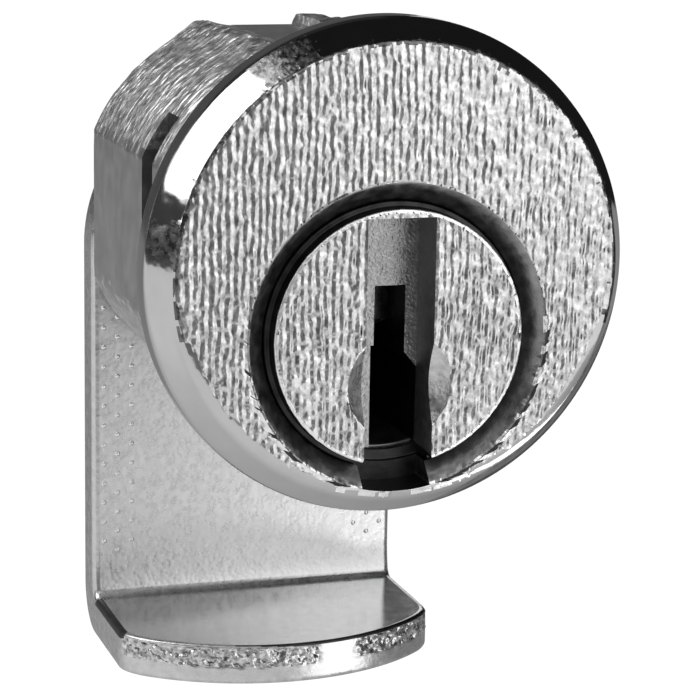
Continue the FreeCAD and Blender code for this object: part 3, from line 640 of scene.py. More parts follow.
# %% The barrel's surface
CHANNEL_FRONT = 0.4
ROW_STEP = 0.11
SCRAPE_PITCH = 0.7
SCRAPE_HEIGHT = 0.08
LIPS = ((2.7, 0.4), (-3.4, 0.24))
LIP_WIDTH = 0.8
END_EDGE = 0.35
INSIDE_HEAD = -0.4
GROOVE_BACK = GROOVE_FRONT + GROOVE_WIDTH
FLAT_EDGE = math.sqrt(BARREL_RADIUS ** 2 - FLAT_HALF ** 2) + 0.1
CAST, SCRAPED, IN_GROOVE = range(3)


def barrel_rows(y_first, y_last, groove, channel):
    """Rows of the outline along y, with ridges scraped round it and lips beside the channel."""
    count = max(2, int(round((y_last - y_first) / ROW_STEP)) + 1)
    y = np.linspace(y_first, y_last, count)[:, None]
    x, z, rough_at = (row[None, :] for row in barrel_outline(groove, channel))
    around_at = np.arctan2(x, z) * BARREL_RADIUS
    skew = 0.5 * rough(around_at, y, (1.6, 2.6), 11) + 0.03 * around_at
    wave = np.sin(2 * np.pi * (y / SCRAPE_PITCH + skew * 2))
    broken = 0.2 + 0.9 * rough(around_at, y, (1.1, 0.5), 12)
    chips = rough(around_at, y, (0.5, 0.22), 13) - 0.5
    height = SCRAPE_HEIGHT * rough_at * (0.4 * wave * broken + 0.6 * chips - 0.55)
    lips = sum(rise * np.exp(-((x - at) / LIP_WIDTH) ** 2) for at, rise in LIPS) * (z > 0) * (rough_at > 0.1)
    lips = lips * ease(y, 0.5, 1.5) * (0.5 + 0.8 * rough(around_at, y, (0.6, 0.8), 15))
    size = 1 + (height + lips) / BARREL_RADIUS
    return x * size, np.broadcast_to(y, size.shape), z * size


stretches = [
    barrel_rows(INSIDE_HEAD, CHANNEL_FRONT, False, False),
    barrel_rows(CHANNEL_FRONT, GROOVE_FRONT, False, True),
    barrel_rows(GROOVE_FRONT, GROOVE_BACK, True, True),
    barrel_rows(GROOVE_BACK, BARREL_END - END_EDGE, False, True),
]
barrel_x, barrel_y, barrel_z = (np.vstack(parts) for parts in zip(*stretches))
ragged_edge = 1.1 * (rough(barrel_y, barrel_z, (0.28, 0.5), 14) - 0.5)
in_channel = (np.abs(barrel_x) < CHANNEL_HALF + 0.01) & (barrel_z > 0)
scraped_at = (np.abs(barrel_z + ragged_edge) > FLAT_EDGE) & ~in_channel
along_groove = (barrel_y > GROOVE_FRONT - 0.01) & (barrel_y < GROOVE_BACK - 0.01)
in_groove = along_groove & (plain_outline[2] < 0.5)[None, :]
barrel_finish = np.where(in_groove, IN_GROOVE, np.where(scraped_at, SCRAPED, CAST))
barrel = Sheets()
barrel.add(barrel_x, barrel_y, barrel_z, barrel_finish[:-1], ring=True)
print("grid of the barrel:", barrel_x.shape)

# %% The barrel's end, with the pocket for the stop washer, and its bore
STOP_HALF_TURN = math.radians(58)
STOP_INNER = 6.3
STOP_OUTER = 8.35
STOP_DEPTH = 1.25
BORE_SEEN = 9.0
end_x, end_z = (part[-1] * (1 - END_EDGE / BARREL_RADIUS) for part in (barrel_x, barrel_z))
reach = np.hypot(end_x, end_z - AXIS_Z)
end_turn = np.arctan2(end_x, end_z - AXIS_Z)
level = np.zeros_like(reach)
pocket = np.where(np.abs(end_turn) < STOP_HALF_TURN, STOP_DEPTH, 0.0)
bore = np.full_like(reach, PLUG_RADIUS + RUNNING_GAP)
low_stop = np.minimum(STOP_INNER, (reach + bore) / 2)
high_stop = np.minimum(STOP_OUTER, (reach * 3 + bore) / 4)
end_rows = np.array([
    (reach, level), (high_stop, level), (high_stop, pocket), (low_stop, pocket), (low_stop, level),
    (bore, level), (bore, level + BORE_SEEN)])
cap_x, cap_y, cap_z = about_axis(end_rows[:, 0], BARREL_END - end_rows[:, 1], end_turn)
cap_x[0], cap_z[0] = end_x, end_z
barrel.add(*(np.vstack([part[-1], cap]) for part, cap in
             ((barrel_x, cap_x), (barrel_y, cap_y), (barrel_z, cap_z))), CAST, ring=True)
barrel.add(
    np.vstack([cap_x[-1], cap_x[-1], barrel_x[0]]),
    np.vstack([cap_y[-1], level + INSIDE_HEAD, barrel_y[0]]),
    np.vstack([cap_z[-1], cap_z[-1], barrel_z[0]]), CAST, ring=True)
make_piece("barrel_casting", barrel, "housing",
           [cast, scraped, groove_shade], ["lock_body"])

# %% [markdown]
# ## The plug
# Seen from the front, the plug is a disc with a channel down its middle, a cone sunk across
# it for the finger and the keyway, which is narrow above and wide below. All of it is one
# depth for each place on the disc, so the grid has pairs of columns where a wall is upright.

# %% Grid of the plug's face
CHANNEL_TOP = 5.35
FACE_CHANNEL_DEPTH = 2.3
DIMPLE_RADIUS = 2.4
DIMPLE_DEPTH = 1.7
DIMPLE_Z = -2.1
KEY_TOP = 1.95
KEY_NARROW_LEFT = 0.45
KEY_NARROW_RIGHT = 1.0
KEY_LEFT_STEP = -0.75
KEY_WIDE_LEFT = 0.6
KEY_SLANT_START = -1.1
KEY_SLANT_END = -1.8
KEY_END = 17.45
STEP_Y = FACE_Y + PLUG_STEP_DEPTH
SEAT_Y = FACE_Y + SEAT_DEPTH
FLOOR_Y = PLUG_FACE_Y + FACE_CHANNEL_DEPTH
RIM_RADIUS = PLUG_FACE_RADIUS - 0.18
WALL_BULGE = 0.02

# Columns from left to right: wing, wall, ledge, keyway, ledge, wall, wing. Each has a share of
# its strip, from 0 to 1. Rows from the foot up: a stretch number, and a share of that stretch.
WING, WALL, LEDGE, SLOT = range(4)
strips = [(WING, -1, 100), (WALL, -1, 7), (LEDGE, -1, 10), (SLOT, 0, 14), (LEDGE, 1, 12), (WALL, 1, 9),
          (WING, 1, 100)]
strip_kind = np.concatenate([np.full(count, kind) for kind, _, count in strips])
strip_side = np.concatenate([np.full(count, side) for _, side, count in strips])
strip_share = np.concatenate([np.linspace(0, 1, count) for _, _, count in strips])
level_marks = [KEY_SLANT_END, KEY_SLANT_START, KEY_LEFT_STEP, KEY_TOP, CHANNEL_TOP]
row_counts = [60, 14, 7, 48, 56, 5]
FOOT, KEY_NARROW, OVER_KEY, OVER_CHANNEL = 0, 3, 4, 5
row_stretch = np.repeat(np.arange(len(row_counts)), row_counts)[:, None]
row_share = np.concatenate([np.linspace(0, 1, count) for count in row_counts])[:, None]
PLUG_GROUND, PLUG_FLOOR, PLUG_BORE, PLUG_DIMPLE, PLUG_RIM_HIGHLIGHT, PLUG_WALL, PLUG_SIDE = range(7)


def plug_grid():
    """Place, depth and finish of every point of the face, with walls as pairs of columns."""
    foot = -math.sqrt(RIM_RADIUS ** 2 - NOTCH_HALF ** 2)
    low = np.array([foot] + level_marks)[row_stretch]
    high = np.array(level_marks + [-foot])[row_stretch]
    level = low + (high - low) * row_share
    key_left = np.where(row_stretch < KEY_NARROW, -KEY_WIDE_LEFT, -KEY_NARROW_LEFT)
    key_right = np.interp(level, [KEY_SLANT_END, KEY_SLANT_START], [NOTCH_HALF, KEY_NARROW_RIGHT])
    on_left, at_foot = strip_side < 0, row_stretch == FOOT
    reach = np.where(on_left, 1 - strip_share, strip_share)
    wing_x = NOTCH_HALF + (RIM_RADIUS - NOTCH_HALF) * (0.45 * reach + 0.55 * np.sin(reach * np.pi / 2))
    x = np.where(on_left,
                 -NOTCH_HALF + (key_left + NOTCH_HALF) * strip_share,
                 key_right + (NOTCH_HALF - key_right) * strip_share)
    x = np.where(strip_kind == SLOT, key_left + (key_right - key_left) * strip_share, x)
    x = np.where(strip_kind == WALL, strip_side * NOTCH_HALF, x)
    x = np.where(strip_kind == WING, strip_side * wing_x, x)
    wing, sunk = strip_kind == WING, (strip_kind != WING) & (row_stretch < OVER_CHANNEL)
    wall, key = sunk & (strip_kind == WALL), (strip_kind == SLOT) & (row_stretch < OVER_KEY)
    depth_share = np.where(on_left, strip_share, 1 - strip_share)
    to_barrel = np.where(strip_kind == WALL, depth_share, 1) * (sunk & at_foot)
    rim = RIM_RADIUS + (PLUG_RADIUS - RIM_RADIUS) * to_barrel
    x = x * (1 - (1 - row_share * at_foot) * (1 - rim / RIM_RADIUS))
    limit = np.sqrt(np.maximum(rim ** 2 - x ** 2, 0))
    z = np.where(at_foot, -limit + (KEY_SLANT_END + limit) * row_share, level)
    z = np.where(row_stretch == OVER_CHANNEL, CHANNEL_TOP + (limit - CHANNEL_TOP) * row_share, z)
    z = np.where(wing, level * limit / -foot, z)
    cone = DIMPLE_DEPTH * (1 - np.hypot(x, z - DIMPLE_Z) / DIMPLE_RADIUS)
    face = np.maximum(PLUG_FACE_Y - grain(x, z + AXIS_Z), PLUG_FACE_Y + cone)
    y = np.where(sunk, FLOOR_Y, face)
    y = np.where(wall, face + (FLOOR_Y - face) * depth_share, y)
    y = np.where(key, KEY_END, y)
    bulge = WALL_BULGE * np.sin(depth_share * 2 * np.pi) * wall * np.where(at_foot, row_share, 1)
    finish = np.where(wing & (cone > 0.02), PLUG_DIMPLE, PLUG_GROUND) + np.zeros_like(row_stretch)
    # The channel's walls are painted darker and the keyway near black, both as shade.
    for here, number in ((sunk, PLUG_FLOOR), (wall, PLUG_WALL), (key, PLUG_BORE)):
        finish[here] = number
    return x - bulge, y, z, finish


plug_x, plug_y, plug_z, plug_finish = plug_grid()
# The keyway's side walls are painted near black as shade, like its floor.
beside, after = strip_kind[:-1], strip_kind[1:]
slot_side = (beside == LEDGE) & (after == SLOT) | (beside == SLOT) & (after == LEDGE)
slot_wall = slot_side[None, :] & (row_stretch[:-1] < OVER_KEY)
either_finish = np.maximum(plug_finish[:-1, :-1], plug_finish[1:, 1:] * (after != WING))
plug = Sheets()
plug.add(plug_x, plug_y, plug_z + AXIS_Z, np.where(slot_wall, PLUG_BORE, either_finish))
print("grid of the plug's face:", plug_x.shape)

# %% The plug's side and back
PLUG_BACK = 18.0
BEAD_HEIGHT = 0.03
BRIGHT_RIM = 0.16
loop_x, loop_y, loop_z = (np.concatenate([part[0], part[-1][::-1]]) for part in (plug_x, plug_y, plug_z))
loop_turn, loop_radius = np.arctan2(loop_x, loop_z), np.hypot(loop_x, loop_z)
side_profile = rounded([
    (RIM_RADIUS, PLUG_FACE_Y),
    (PLUG_FACE_RADIUS - 0.02, PLUG_FACE_Y + 0.02),
    (PLUG_FACE_RADIUS, STEP_Y),
    (FLANGE_RADIUS, STEP_Y),
    (FLANGE_RADIUS, SEAT_Y),
    (PLUG_RADIUS, SEAT_Y),
    (PLUG_RADIUS, PLUG_BACK),
    (1.0, PLUG_BACK),
], 0.14)[1:]
held = side_profile[:, 1:] < loop_y
y_rows = np.where(held, loop_y, side_profile[:, 1:])
radius_rows = np.where(held, loop_radius, side_profile[:, :1])
beads = rough_turn(loop_turn, 26, 0.5, 41) - 0.5
on_rim = np.exp(-((y_rows - PLUG_FACE_Y - 0.05) / 0.08) ** 2) * (y_rows < PLUG_FACE_Y + 0.4)
radius_rows = radius_rows + BEAD_HEIGHT * beads * on_rim * ~held
# The plug's rounded rim is painted white as a highlight, and its side below near black as shade.
side_finish = np.where((y_rows < PLUG_FACE_Y + BRIGHT_RIM) & ~held, PLUG_RIM_HIGHLIGHT, PLUG_SIDE)
centre = np.zeros_like(loop_x)
plug.add(
    np.vstack([loop_x, radius_rows * np.sin(loop_turn), centre]),
    np.vstack([loop_y, y_rows, centre + PLUG_BACK]),
    AXIS_Z + np.vstack([loop_z, radius_rows * np.cos(loop_turn), centre]),
    np.vstack([side_finish, side_finish[-1:]]), ring=True)
make_piece("plug_turned", plug, "core",
           [ground, grainy, bore_shade, dimple_plate, painted_highlight, channel_wall_shade, gap_shade], ["plug"])

# %% [markdown]
# ## The tail
# Behind the plug a threaded tail with two flats carries the cam. The thread is one function:
# the radius swings between root and crest with the height along the axis less a share of
# the turn, and the flats cut it off where it would reach past them.

# %% The threaded tail
TAIL_RADIUS = 3.175
TAIL_FLAT = 2.38
THREAD_PITCH = 0.907
THREAD_DEPTH = 0.42
TAIL_EDGE = 0.4
LAND_BACK = TAIL_END - 9.05
TAIL_START = LAND_BACK - 0.3


def thread_radius(y, turn_at, crest, depth):
    """Radius of a thread: a blunt wave along y that climbs one pitch in each turn."""
    phase = (y / THREAD_PITCH - turn_at / (2 * np.pi)) % 1.0
    wave = np.abs(phase * 2 - 1)
    return crest - depth * (1 - ease(wave, 0.12, 0.88))


tail_turn = full_turn(144)[None, :]
tail_y = np.linspace(TAIL_START, TAIL_END, 150)[:, None]
crest = TAIL_RADIUS - np.maximum(0, tail_y - (TAIL_END - TAIL_EDGE))
radius = np.minimum(thread_radius(tail_y, tail_turn, TAIL_RADIUS, THREAD_DEPTH), crest)
radius = np.minimum(radius, TAIL_FLAT / np.maximum(np.abs(np.sin(tail_turn)), 1e-3))
tail_y = np.broadcast_to(tail_y, radius.shape)
tail_grid = about_axis(radius, tail_y, tail_turn)
tail = Sheets()
tail.add(*tail_grid, ring=True)
for row in (0, -1):
    tail.lid(tail_grid, row, (0.0, tail_y[row, 0], AXIS_Z))
make_piece("threaded_tail", tail, "core", [turned], ["plug"])

# %% The plug's last land, with the groove for its retaining ring
LAND_FRONT = PLUG_BACK - 0.5
CLIP_FLOOR = 4.9
CLIP_FRONT = BARREL_END + 0.03
CLIP_BACK = BARREL_END + 0.81
land_profile = rounded([
    (0.0, LAND_FRONT),
    (PLUG_RADIUS, LAND_FRONT),
    (PLUG_RADIUS, CLIP_FRONT),
    (CLIP_FLOOR, CLIP_FRONT),
    (CLIP_FLOOR, CLIP_BACK),
    (PLUG_RADIUS, CLIP_BACK),
    (PLUG_RADIUS, LAND_BACK),
    (0.0, LAND_BACK),
], 0.04)
land = Sheets()
land.add(*about_axis(land_profile[:, :1], land_profile[:, 1:], full_turn(120)), ring=True)
make_piece("plug_land", land, "core", [turned], ["plug"])

# %% [markdown]
# ## The cam
# The cam is cut from sheet and bent once. Its flat part is a half disc above and a square
# shape below; then come the bend and the tab with its curved nose. The front and back are
# two grids with the same lines, one sheet thickness apart, and the edge joins them: clean
# where the punch slid, torn and grainy where the metal broke.

# %% Lines of the cam
CAM_HALF = cam_high[0]
CAM_BACK = cam_high[1]
SHEET = 2.0
CAM_FRONT = CAM_BACK - SHEET
TAB_TOP = cam_low[2] + SHEET
BEND_INNER = 0.35
BEND_TOP = TAB_TOP + BEND_INNER
TAB_SIDE = CAM_FRONT - 6.7
TAB_NOSE = cam_low[1]
NOSE_RISE = TAB_SIDE - TAB_NOSE
NOSE_RADIUS = (CAM_HALF ** 2 + NOSE_RISE ** 2) / (2 * NOSE_RISE)
NOSE_SHARE = 0.9
TAB_CORNER = 0.9
SWELL = 0.2
SWELL_LENGTH = 1.6
SWELL_START = BEND_TOP + SWELL_LENGTH
CAM_COLUMNS = 180
TAB_ROWS = 56

across = np.sin(np.linspace(-np.pi / 2, np.pi / 2, CAM_COLUMNS))
across = 0.55 * across + 0.45 * np.linspace(-1, 1, CAM_COLUMNS)
disc_rows = CAM_HALF * (1 - np.cos(np.linspace(0.06, np.pi / 2, 34)))
straight_rows = np.linspace(CAM_HALF, CAM_HALF + (AXIS_Z - BEND_TOP), 60)[1:]
flat_path = np.concatenate([disc_rows, straight_rows])
flat_z = AXIS_Z + CAM_HALF - flat_path
half_chord = np.sqrt(np.maximum(CAM_HALF ** 2 - (CAM_HALF - flat_path) ** 2, 0))
flat_half = np.where(flat_path < CAM_HALF, half_chord, CAM_HALF)
bend_turn = np.linspace(0, np.pi / 2, 14)[1:]
tab_share = np.linspace(0, 1, TAB_ROWS)[1:, None]


def nose_line(share):
    """The tab's front edge from left to right: an arc between two corners, each one rounded."""
    corner_from = 1 - TAB_CORNER / CAM_HALF
    bent = np.clip((np.abs(share) - NOSE_SHARE) / (1 - NOSE_SHARE), 0, 1)
    along = np.minimum(np.abs(share) / NOSE_SHARE, 1) * corner_from * CAM_HALF
    arc_y = TAB_NOSE + NOSE_RADIUS - np.sqrt(NOSE_RADIUS ** 2 - along ** 2)
    side_y = TAB_SIDE + TAB_CORNER
    x = along * (1 - bent) ** 2 + CAM_HALF * (2 * bent * (1 - bent) + bent ** 2)
    y = arc_y * (1 - bent) ** 2 + TAB_SIDE * 2 * bent * (1 - bent) + side_y * bent ** 2
    return np.sign(share) * x, y


nose_x, nose_y = nose_line(across)


def cam_side(offset):
    """Grid of the sheet's surface at a depth of offset behind its front, from top to nose.

    The front side swells out towards the bend by a square law, as pressed metal does.
    """
    flat_x = flat_half[:, None] * across
    upper_z = np.broadcast_to(flat_z[:, None], flat_x.shape)
    upper_y = np.full_like(flat_x, CAM_FRONT + offset)
    radius = BEND_INNER + offset
    bend_x = np.broadcast_to(CAM_HALF * across, (len(bend_turn), CAM_COLUMNS))
    bend_y = CAM_FRONT - BEND_INNER + radius * np.cos(bend_turn)[:, None] + 0 * bend_x
    bend_z = BEND_TOP - radius * np.sin(bend_turn)[:, None] + 0 * bend_x
    swell_to = 0 if offset else SWELL
    upper_y = upper_y - swell_to * (np.maximum(SWELL_START - upper_z, 0) / SWELL_LENGTH) ** 2
    bend_y = bend_y - swell_to * (np.maximum(SWELL_START - bend_z, 0) / SWELL_LENGTH) ** 2
    start_x, start_y = CAM_HALF * across, bend_y[-1]
    tab_x = start_x + (nose_x - start_x) * tab_share
    tab_y = start_y + (nose_y - start_y) * tab_share
    tab_z = np.full_like(tab_x, TAB_TOP - offset)
    return [np.vstack(parts) for parts in
            ((flat_x, bend_x, tab_x), (upper_y, bend_y, tab_y), (upper_z, bend_z, tab_z))]


front, back = cam_side(0.0), cam_side(SHEET)
print("grid of each side of the cam:", front[0].shape)

# %% The cam's surface
SIDE_ROUND = 0.35
NOSE_ROUND = 0.14
CHIP_DEPTH = 0.22
BACK_EDGE_DRAW = 0.06
WHITE_PATCH = 2.1
PATCH_HALF = 1.25
# Where the tab's rolled edge is painted dark as shade: a strip along its left side and a stretch of its
# nose.
SHADE_LEFT = 0.3
SHADE_NOSE = (-3.5, 1.0)
PLAIN_SHEET, TORN, TAB, SHADED_EDGE, BUMP = range(5)


def border(grid):
    """The outline of a grid as one loop: down the left, along the nose, up the right."""
    left, right = grid[:, 0], grid[::-1, -1]
    return np.concatenate([left[:-1], grid[-1, :-1], right[:-1], grid[0, ::-1][:-1]])


def rounding(level, radius):
    """How far the edge draws in at a share of the thickness: a quarter circle at the front."""
    depth = np.minimum(level * SHEET / radius, 1)
    return radius * (1 - np.sqrt(1 - (1 - depth) ** 2))


def drawn_in(grid, edge):
    """The grid shrunk a little about its middle line, with its border laid on a row of the edge."""
    shrunk = [part.copy() for part in grid]
    share = 1 - SIDE_ROUND / CAM_HALF
    shrunk[0] *= share
    disc = len(disc_rows)
    shrunk[2][:disc] = AXIS_Z + (shrunk[2][:disc] - AXIS_Z) * share
    rows, columns = shrunk[0].shape
    for part, row in zip(shrunk, edge):
        part[:, 0] = row[:rows]
        part[-1, :] = row[rows - 1:rows + columns - 1]
        part[:, -1] = row[rows + columns - 2:rows * 2 + columns - 2][::-1]
        part[0, 1:] = row[rows * 2 + columns - 3:][::-1]
    return shrunk


edge_levels = np.concatenate([np.linspace(0, 0.18, 11), np.linspace(0.18, 1, 20)[1:]])
level_rows = edge_levels[:, None]
loops_front = np.array([border(part) for part in front])
loops_back = np.array([border(part) for part in back])
path = np.concatenate([[0], np.cumsum(np.linalg.norm(np.diff(loops_front, axis=1), axis=0))])
tangent = np.roll(loops_front, -1, axis=1) - np.roll(loops_front, 1, axis=1)
outward = np.cross(tangent.T, (loops_back - loops_front).T).T
outward /= np.linalg.norm(outward, axis=0)
if outward[0][np.argmax(loops_front[0])] < 0:
    outward = -outward
near_nose = 1 - ease(loops_front[1], TAB_SIDE - 0.2, TAB_SIDE + 0.6)
torn_share = hump(level_rows, (0.07, 0.12), (0.5, 0.6)) * near_nose
torn_share = torn_share * (1 - np.exp(-((loops_front[0] - WHITE_PATCH) / PATCH_HALF) ** 6) * near_nose)
chip = (rough(path[None, :], level_rows * SHEET, (0.26, 0.24), 21) - 0.6) * torn_share
edge_radius = SIDE_ROUND + (NOSE_ROUND - SIDE_ROUND) * near_nose
shift = CHIP_DEPTH * chip - rounding(level_rows, edge_radius) - BACK_EDGE_DRAW * ease(level_rows, 0.94, 1)
edge_at = loops_front[:, None, :] * (1 - level_rows) + loops_back[:, None, :] * level_rows
edge_at = edge_at + shift * outward[:, None, :]
tab_here = np.arange(len(front[0]) - 1) >= len(flat_path) + len(bend_turn) - 2
cam = Sheets()
cam.add(*drawn_in(front, edge_at[:, 0]), np.repeat(np.where(tab_here, TAB, PLAIN_SHEET), CAM_COLUMNS - 1))
cam.add(*drawn_in(back, edge_at[:, -1]), PLAIN_SHEET)
# The rolled edge is painted dark as shade along the tab's left side and along its nose, deepening towards
# the right.
shaded_nose = (near_nose > 0.5) & (loops_front[0] > SHADE_NOSE[0])
rolled_shade = ((loops_front[0] < SHADE_LEFT - CAM_HALF) | shaded_nose) & (loops_front[2] < TAB_TOP + 0.01)
shade_depth = edge_radius * np.where(near_nose > 0.5, ease(loops_front[0], *SHADE_NOSE), 1) * rolled_shade
edge_finish = np.where(torn_share[:-1] > 0.3, TORN, PLAIN_SHEET)
edge_finish[level_rows[:-1] * SHEET < shade_depth - 0.001] = SHADED_EDGE
cam.add(*edge_at, edge_finish, ring=True)
print("points round the cam's edge:", len(path))

# %% Rows of small bumps along the cam's sides
BUMP_RADIUS = 0.14
BUMP_HEIGHT = 0.06
BUMP_PITCH = 1.05
BUMP_COLUMNS = (0.62, 1.35, 2.1)
dome_turn = full_turn(10)[None, :]
dome_radius = BUMP_RADIUS * np.array([0.0, 0.45, 0.8, 1.0, 0.0])[:, None]
dome_rise = BUMP_HEIGHT * np.array([1.0, 0.8, 0.35, -0.1, -0.2])[:, None]
# The bumps are painted white, as a highlight.
for number, from_side in enumerate(BUMP_COLUMNS):
    first_z = AXIS_Z - 1 - (number % 2) * BUMP_PITCH / 2
    for bump_z in np.arange(first_z, SWELL_START, -BUMP_PITCH):
        for side in (-1, 1):
            bump_x = side * (CAM_HALF - from_side)
            cam.add(bump_x + dome_radius * np.sin(dome_turn), CAM_FRONT - dome_rise + 0 * dome_turn,
                    bump_z + dome_radius * np.cos(dome_turn), BUMP, ring=True)
make_piece("cam_plate", cam, "core",
           [sheet_metal, torn, tab_gloss, gap_shade, painted_highlight], ["cam"])

# %% [markdown]
# ## Nut and split washer
# The nut is a hexagon whose corners were turned off, with the tail's thread in its hole.
# The washer is a square wire wound almost once round, its ends standing a little apart.

# %% The nut
NUT_HALF = nut_high[0]
NUT_FRONT, NUT_BACK = nut_low[1], nut_high[1]
BORE = TAIL_RADIUS + 0.03
BORE_EDGE = 0.35
LAND_EDGE = 0.3
CHAMFER_START = 0.25
CHAMFER_SLOPE = math.tan(math.radians(28))
FRONT_CHAMFER = 0.4
nut_turn = full_turn(240)
from_flat = (nut_turn - np.pi / 2 + np.pi / 6) % (np.pi / 3) - np.pi / 6
hexagon = NUT_HALF / np.cos(from_flat)
radius_rows = [np.full_like(hexagon, radius) for radius in (BORE, BORE + BORE_EDGE, NUT_HALF - LAND_EDGE)]
for share in np.linspace(0, 1, 8):
    radius_rows.append(NUT_HALF - CHAMFER_START + (hexagon - NUT_HALF + CHAMFER_START) * share)
radius_rows = np.array(radius_rows)
drop = np.maximum(0, radius_rows - NUT_HALF + CHAMFER_START) * CHAMFER_SLOPE
drop[0] = BORE_EDGE
nut_back = about_axis(radius_rows, NUT_BACK - drop, nut_turn)
nut_front = about_axis(radius_rows, NUT_FRONT + drop * FRONT_CHAMFER, nut_turn)
nut = Sheets()
nut.add(*(np.vstack([there, here[::-1], there[0]]) for there, here in zip(nut_back, nut_front)), ring=True)
make_piece("hex_nut", nut, "core", [turned], ["cam_nut"], crease=24)

# %% The split washer
SPLIT_OUTER = split_high[2] - AXIS_Z
SPLIT_FRONT, SPLIT_BACK = split_low[1], split_high[1]
SPLIT_EDGE = 0.06
GAP_TURN = 0.09
washer_turn = np.linspace(np.pi / 2 + GAP_TURN, np.pi / 2 + 2 * np.pi - GAP_TURN, 120)[:, None]
section = np.array([
    (BORE, SPLIT_FRONT),
    (SPLIT_OUTER, SPLIT_FRONT + SPLIT_EDGE),
    (SPLIT_OUTER, SPLIT_BACK - SPLIT_EDGE),
    (BORE, SPLIT_BACK)])
washer_grid = about_axis(section[:, 0], section[:, 1] + 0 * washer_turn, washer_turn)
washer = Sheets()
washer.add(*washer_grid, ring=True)
for row in (0, -1):
    washer.add(*(part[row][[[0, 1], [3, 2]]] for part in washer_grid))
make_piece("split_washer", washer, "core", [turned], ["lock_washer"])

# %% [markdown]
# ## The pin springs
# Each spring is a round wire on a helix. It has to shorten when the driver pin under it rises,
# which a rigid CAD solid can't do, so a mesh of the same size takes its place.

# %% The coil
SPRING_TURNS = 5
SPRING_WIRE = 0.3
STEPS_A_TURN = 28
WIRE_SIDES = 9


def wire_grid(low, high):
    """Sections of the wire along the helix: a circle across the helix's heading at each step."""
    coil = (high[0] - low[0] - SPRING_WIRE) / 2
    centre = (low + high) / 2
    steps = np.linspace(0, 2 * np.pi * SPRING_TURNS, SPRING_TURNS * STEPS_A_TURN + 1)[:, None]
    climb = (high[2] - low[2] - SPRING_WIRE) / steps[-1, 0]
    turn_round = full_turn(WIRE_SIDES)[None, :]
    slope = math.atan2(climb, coil)
    reach = coil + SPRING_WIRE / 2 * np.cos(turn_round)
    side = SPRING_WIRE / 2 * np.sin(turn_round)
    x = centre[0] + reach * np.cos(steps) + side * math.sin(slope) * np.sin(steps)
    y = centre[1] + reach * np.sin(steps) - side * math.sin(slope) * np.cos(steps)
    z = low[2] + SPRING_WIRE / 2 + climb * steps + side * math.cos(slope)
    return x, y, z


for number in range(1, 6):
    node = f"pin_spring_{number}"
    spring_low, spring_high = corners(node)
    grid = wire_grid(spring_low, spring_high)
    coil_sheets = Sheets()
    coil_sheets.add(*grid, ring=True)
    for row in (0, -1):
        coil_sheets.lid(grid, row, [part[row].mean() for part in grid])
    piece = make_piece(f"coil_{number}", coil_sheets, "housing", [turned], [node])
    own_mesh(piece)

# %% [markdown]
# ## The pieces that stay
# The pins, cover, clip and stop washer keep their CAD shape, which is right, and get
# finishes of their own: brass for the pins, dark spring steel for the clip.

# %% Finishes for the CAD nodes
brass = new_metal("pin_brass", 0.6, 0.05, 0.3, 0.05, 0.6, [(0.2, 0.004, 3)])
kept_finishes = {"key_pin": brass, "driver_pin": brass, "plug_clip": dark_steel, "chamber_cover": cast}
shown = {node: item for node, item in frame["nodes"].items() if not item.hide_render}
for node, item in shown.items():
    chosen = [made for start, made in kept_finishes.items() if node.startswith(start)] + [turned]
    item.data.materials.clear()
    item.data.materials.append(chosen[0])
print("CAD nodes shown:", len(shown))

# %% [markdown]
# ## Light, floor and camera
# Polished metal shows what stands round it, so the studio is built for the reflections. The
# room is white. Bright panels stand high on the left, in front on the right, above the front
# and low on the right. Dark boards hang above and behind, and stand in front and on both sides.

# %% Camera
CAMERA_AZIMUTH = math.radians(-18.36)
CAMERA_ELEVATION = math.radians(12.35)
CAMERA_ROLL = math.radians(1.055)
CAMERA_DISTANCE = 112.0
FOCAL_PIXELS = 2574.0
PICTURE_PIXELS = 700.0
TARGET = np.array([-2.278, -3.15, -3.222])


def way_to(azimuth, elevation):
    """The direction of a place round the object: azimuth 0 is in front, pi / 2 on the right."""
    level = math.cos(elevation)
    return np.array([math.sin(azimuth) * level, -math.cos(azimuth) * level, math.sin(elevation)])


camera_data = bpy.data.cameras.new("camera")
camera = bpy.data.objects.new("camera", camera_data)
bpy.context.scene.collection.objects.link(camera)
bpy.context.scene.camera = camera
camera_data.sensor_width = 36.0
camera_data.lens = FOCAL_PIXELS * camera_data.sensor_width / PICTURE_PIXELS
back_way = way_to(CAMERA_AZIMUTH, CAMERA_ELEVATION)
right_way = np.array([math.cos(CAMERA_AZIMUTH), math.sin(CAMERA_AZIMUTH), 0.0])
up_way = np.cross(back_way, right_way)
right_rolled = right_way * math.cos(CAMERA_ROLL) + up_way * math.sin(CAMERA_ROLL)
turn_to = np.eye(4)
turn_to[:3, :3] = np.stack([right_rolled, np.cross(back_way, right_rolled), back_way], axis=1)
turn_to[:3, 3] = (TARGET + back_way * CAMERA_DISTANCE) * MM
camera.matrix_world = Matrix(turn_to.tolist())
camera_data.clip_start, camera_data.clip_end = 0.01, 10.0
print("camera stands at", list(camera.matrix_world.translation))

# %% World, floor and table
FLOOR_DROP = 30
TABLE_DROP = 26.5
FLOOR_HALF = 3000.0
TABLE_HALF = 1200.0
SQUARE = ((-1, -1), (1, -1), (1, 1), (-1, 1))
WHITE = (1, 1, 1, 1)
PALE = (0.8, 0.8, 0.8, 1)


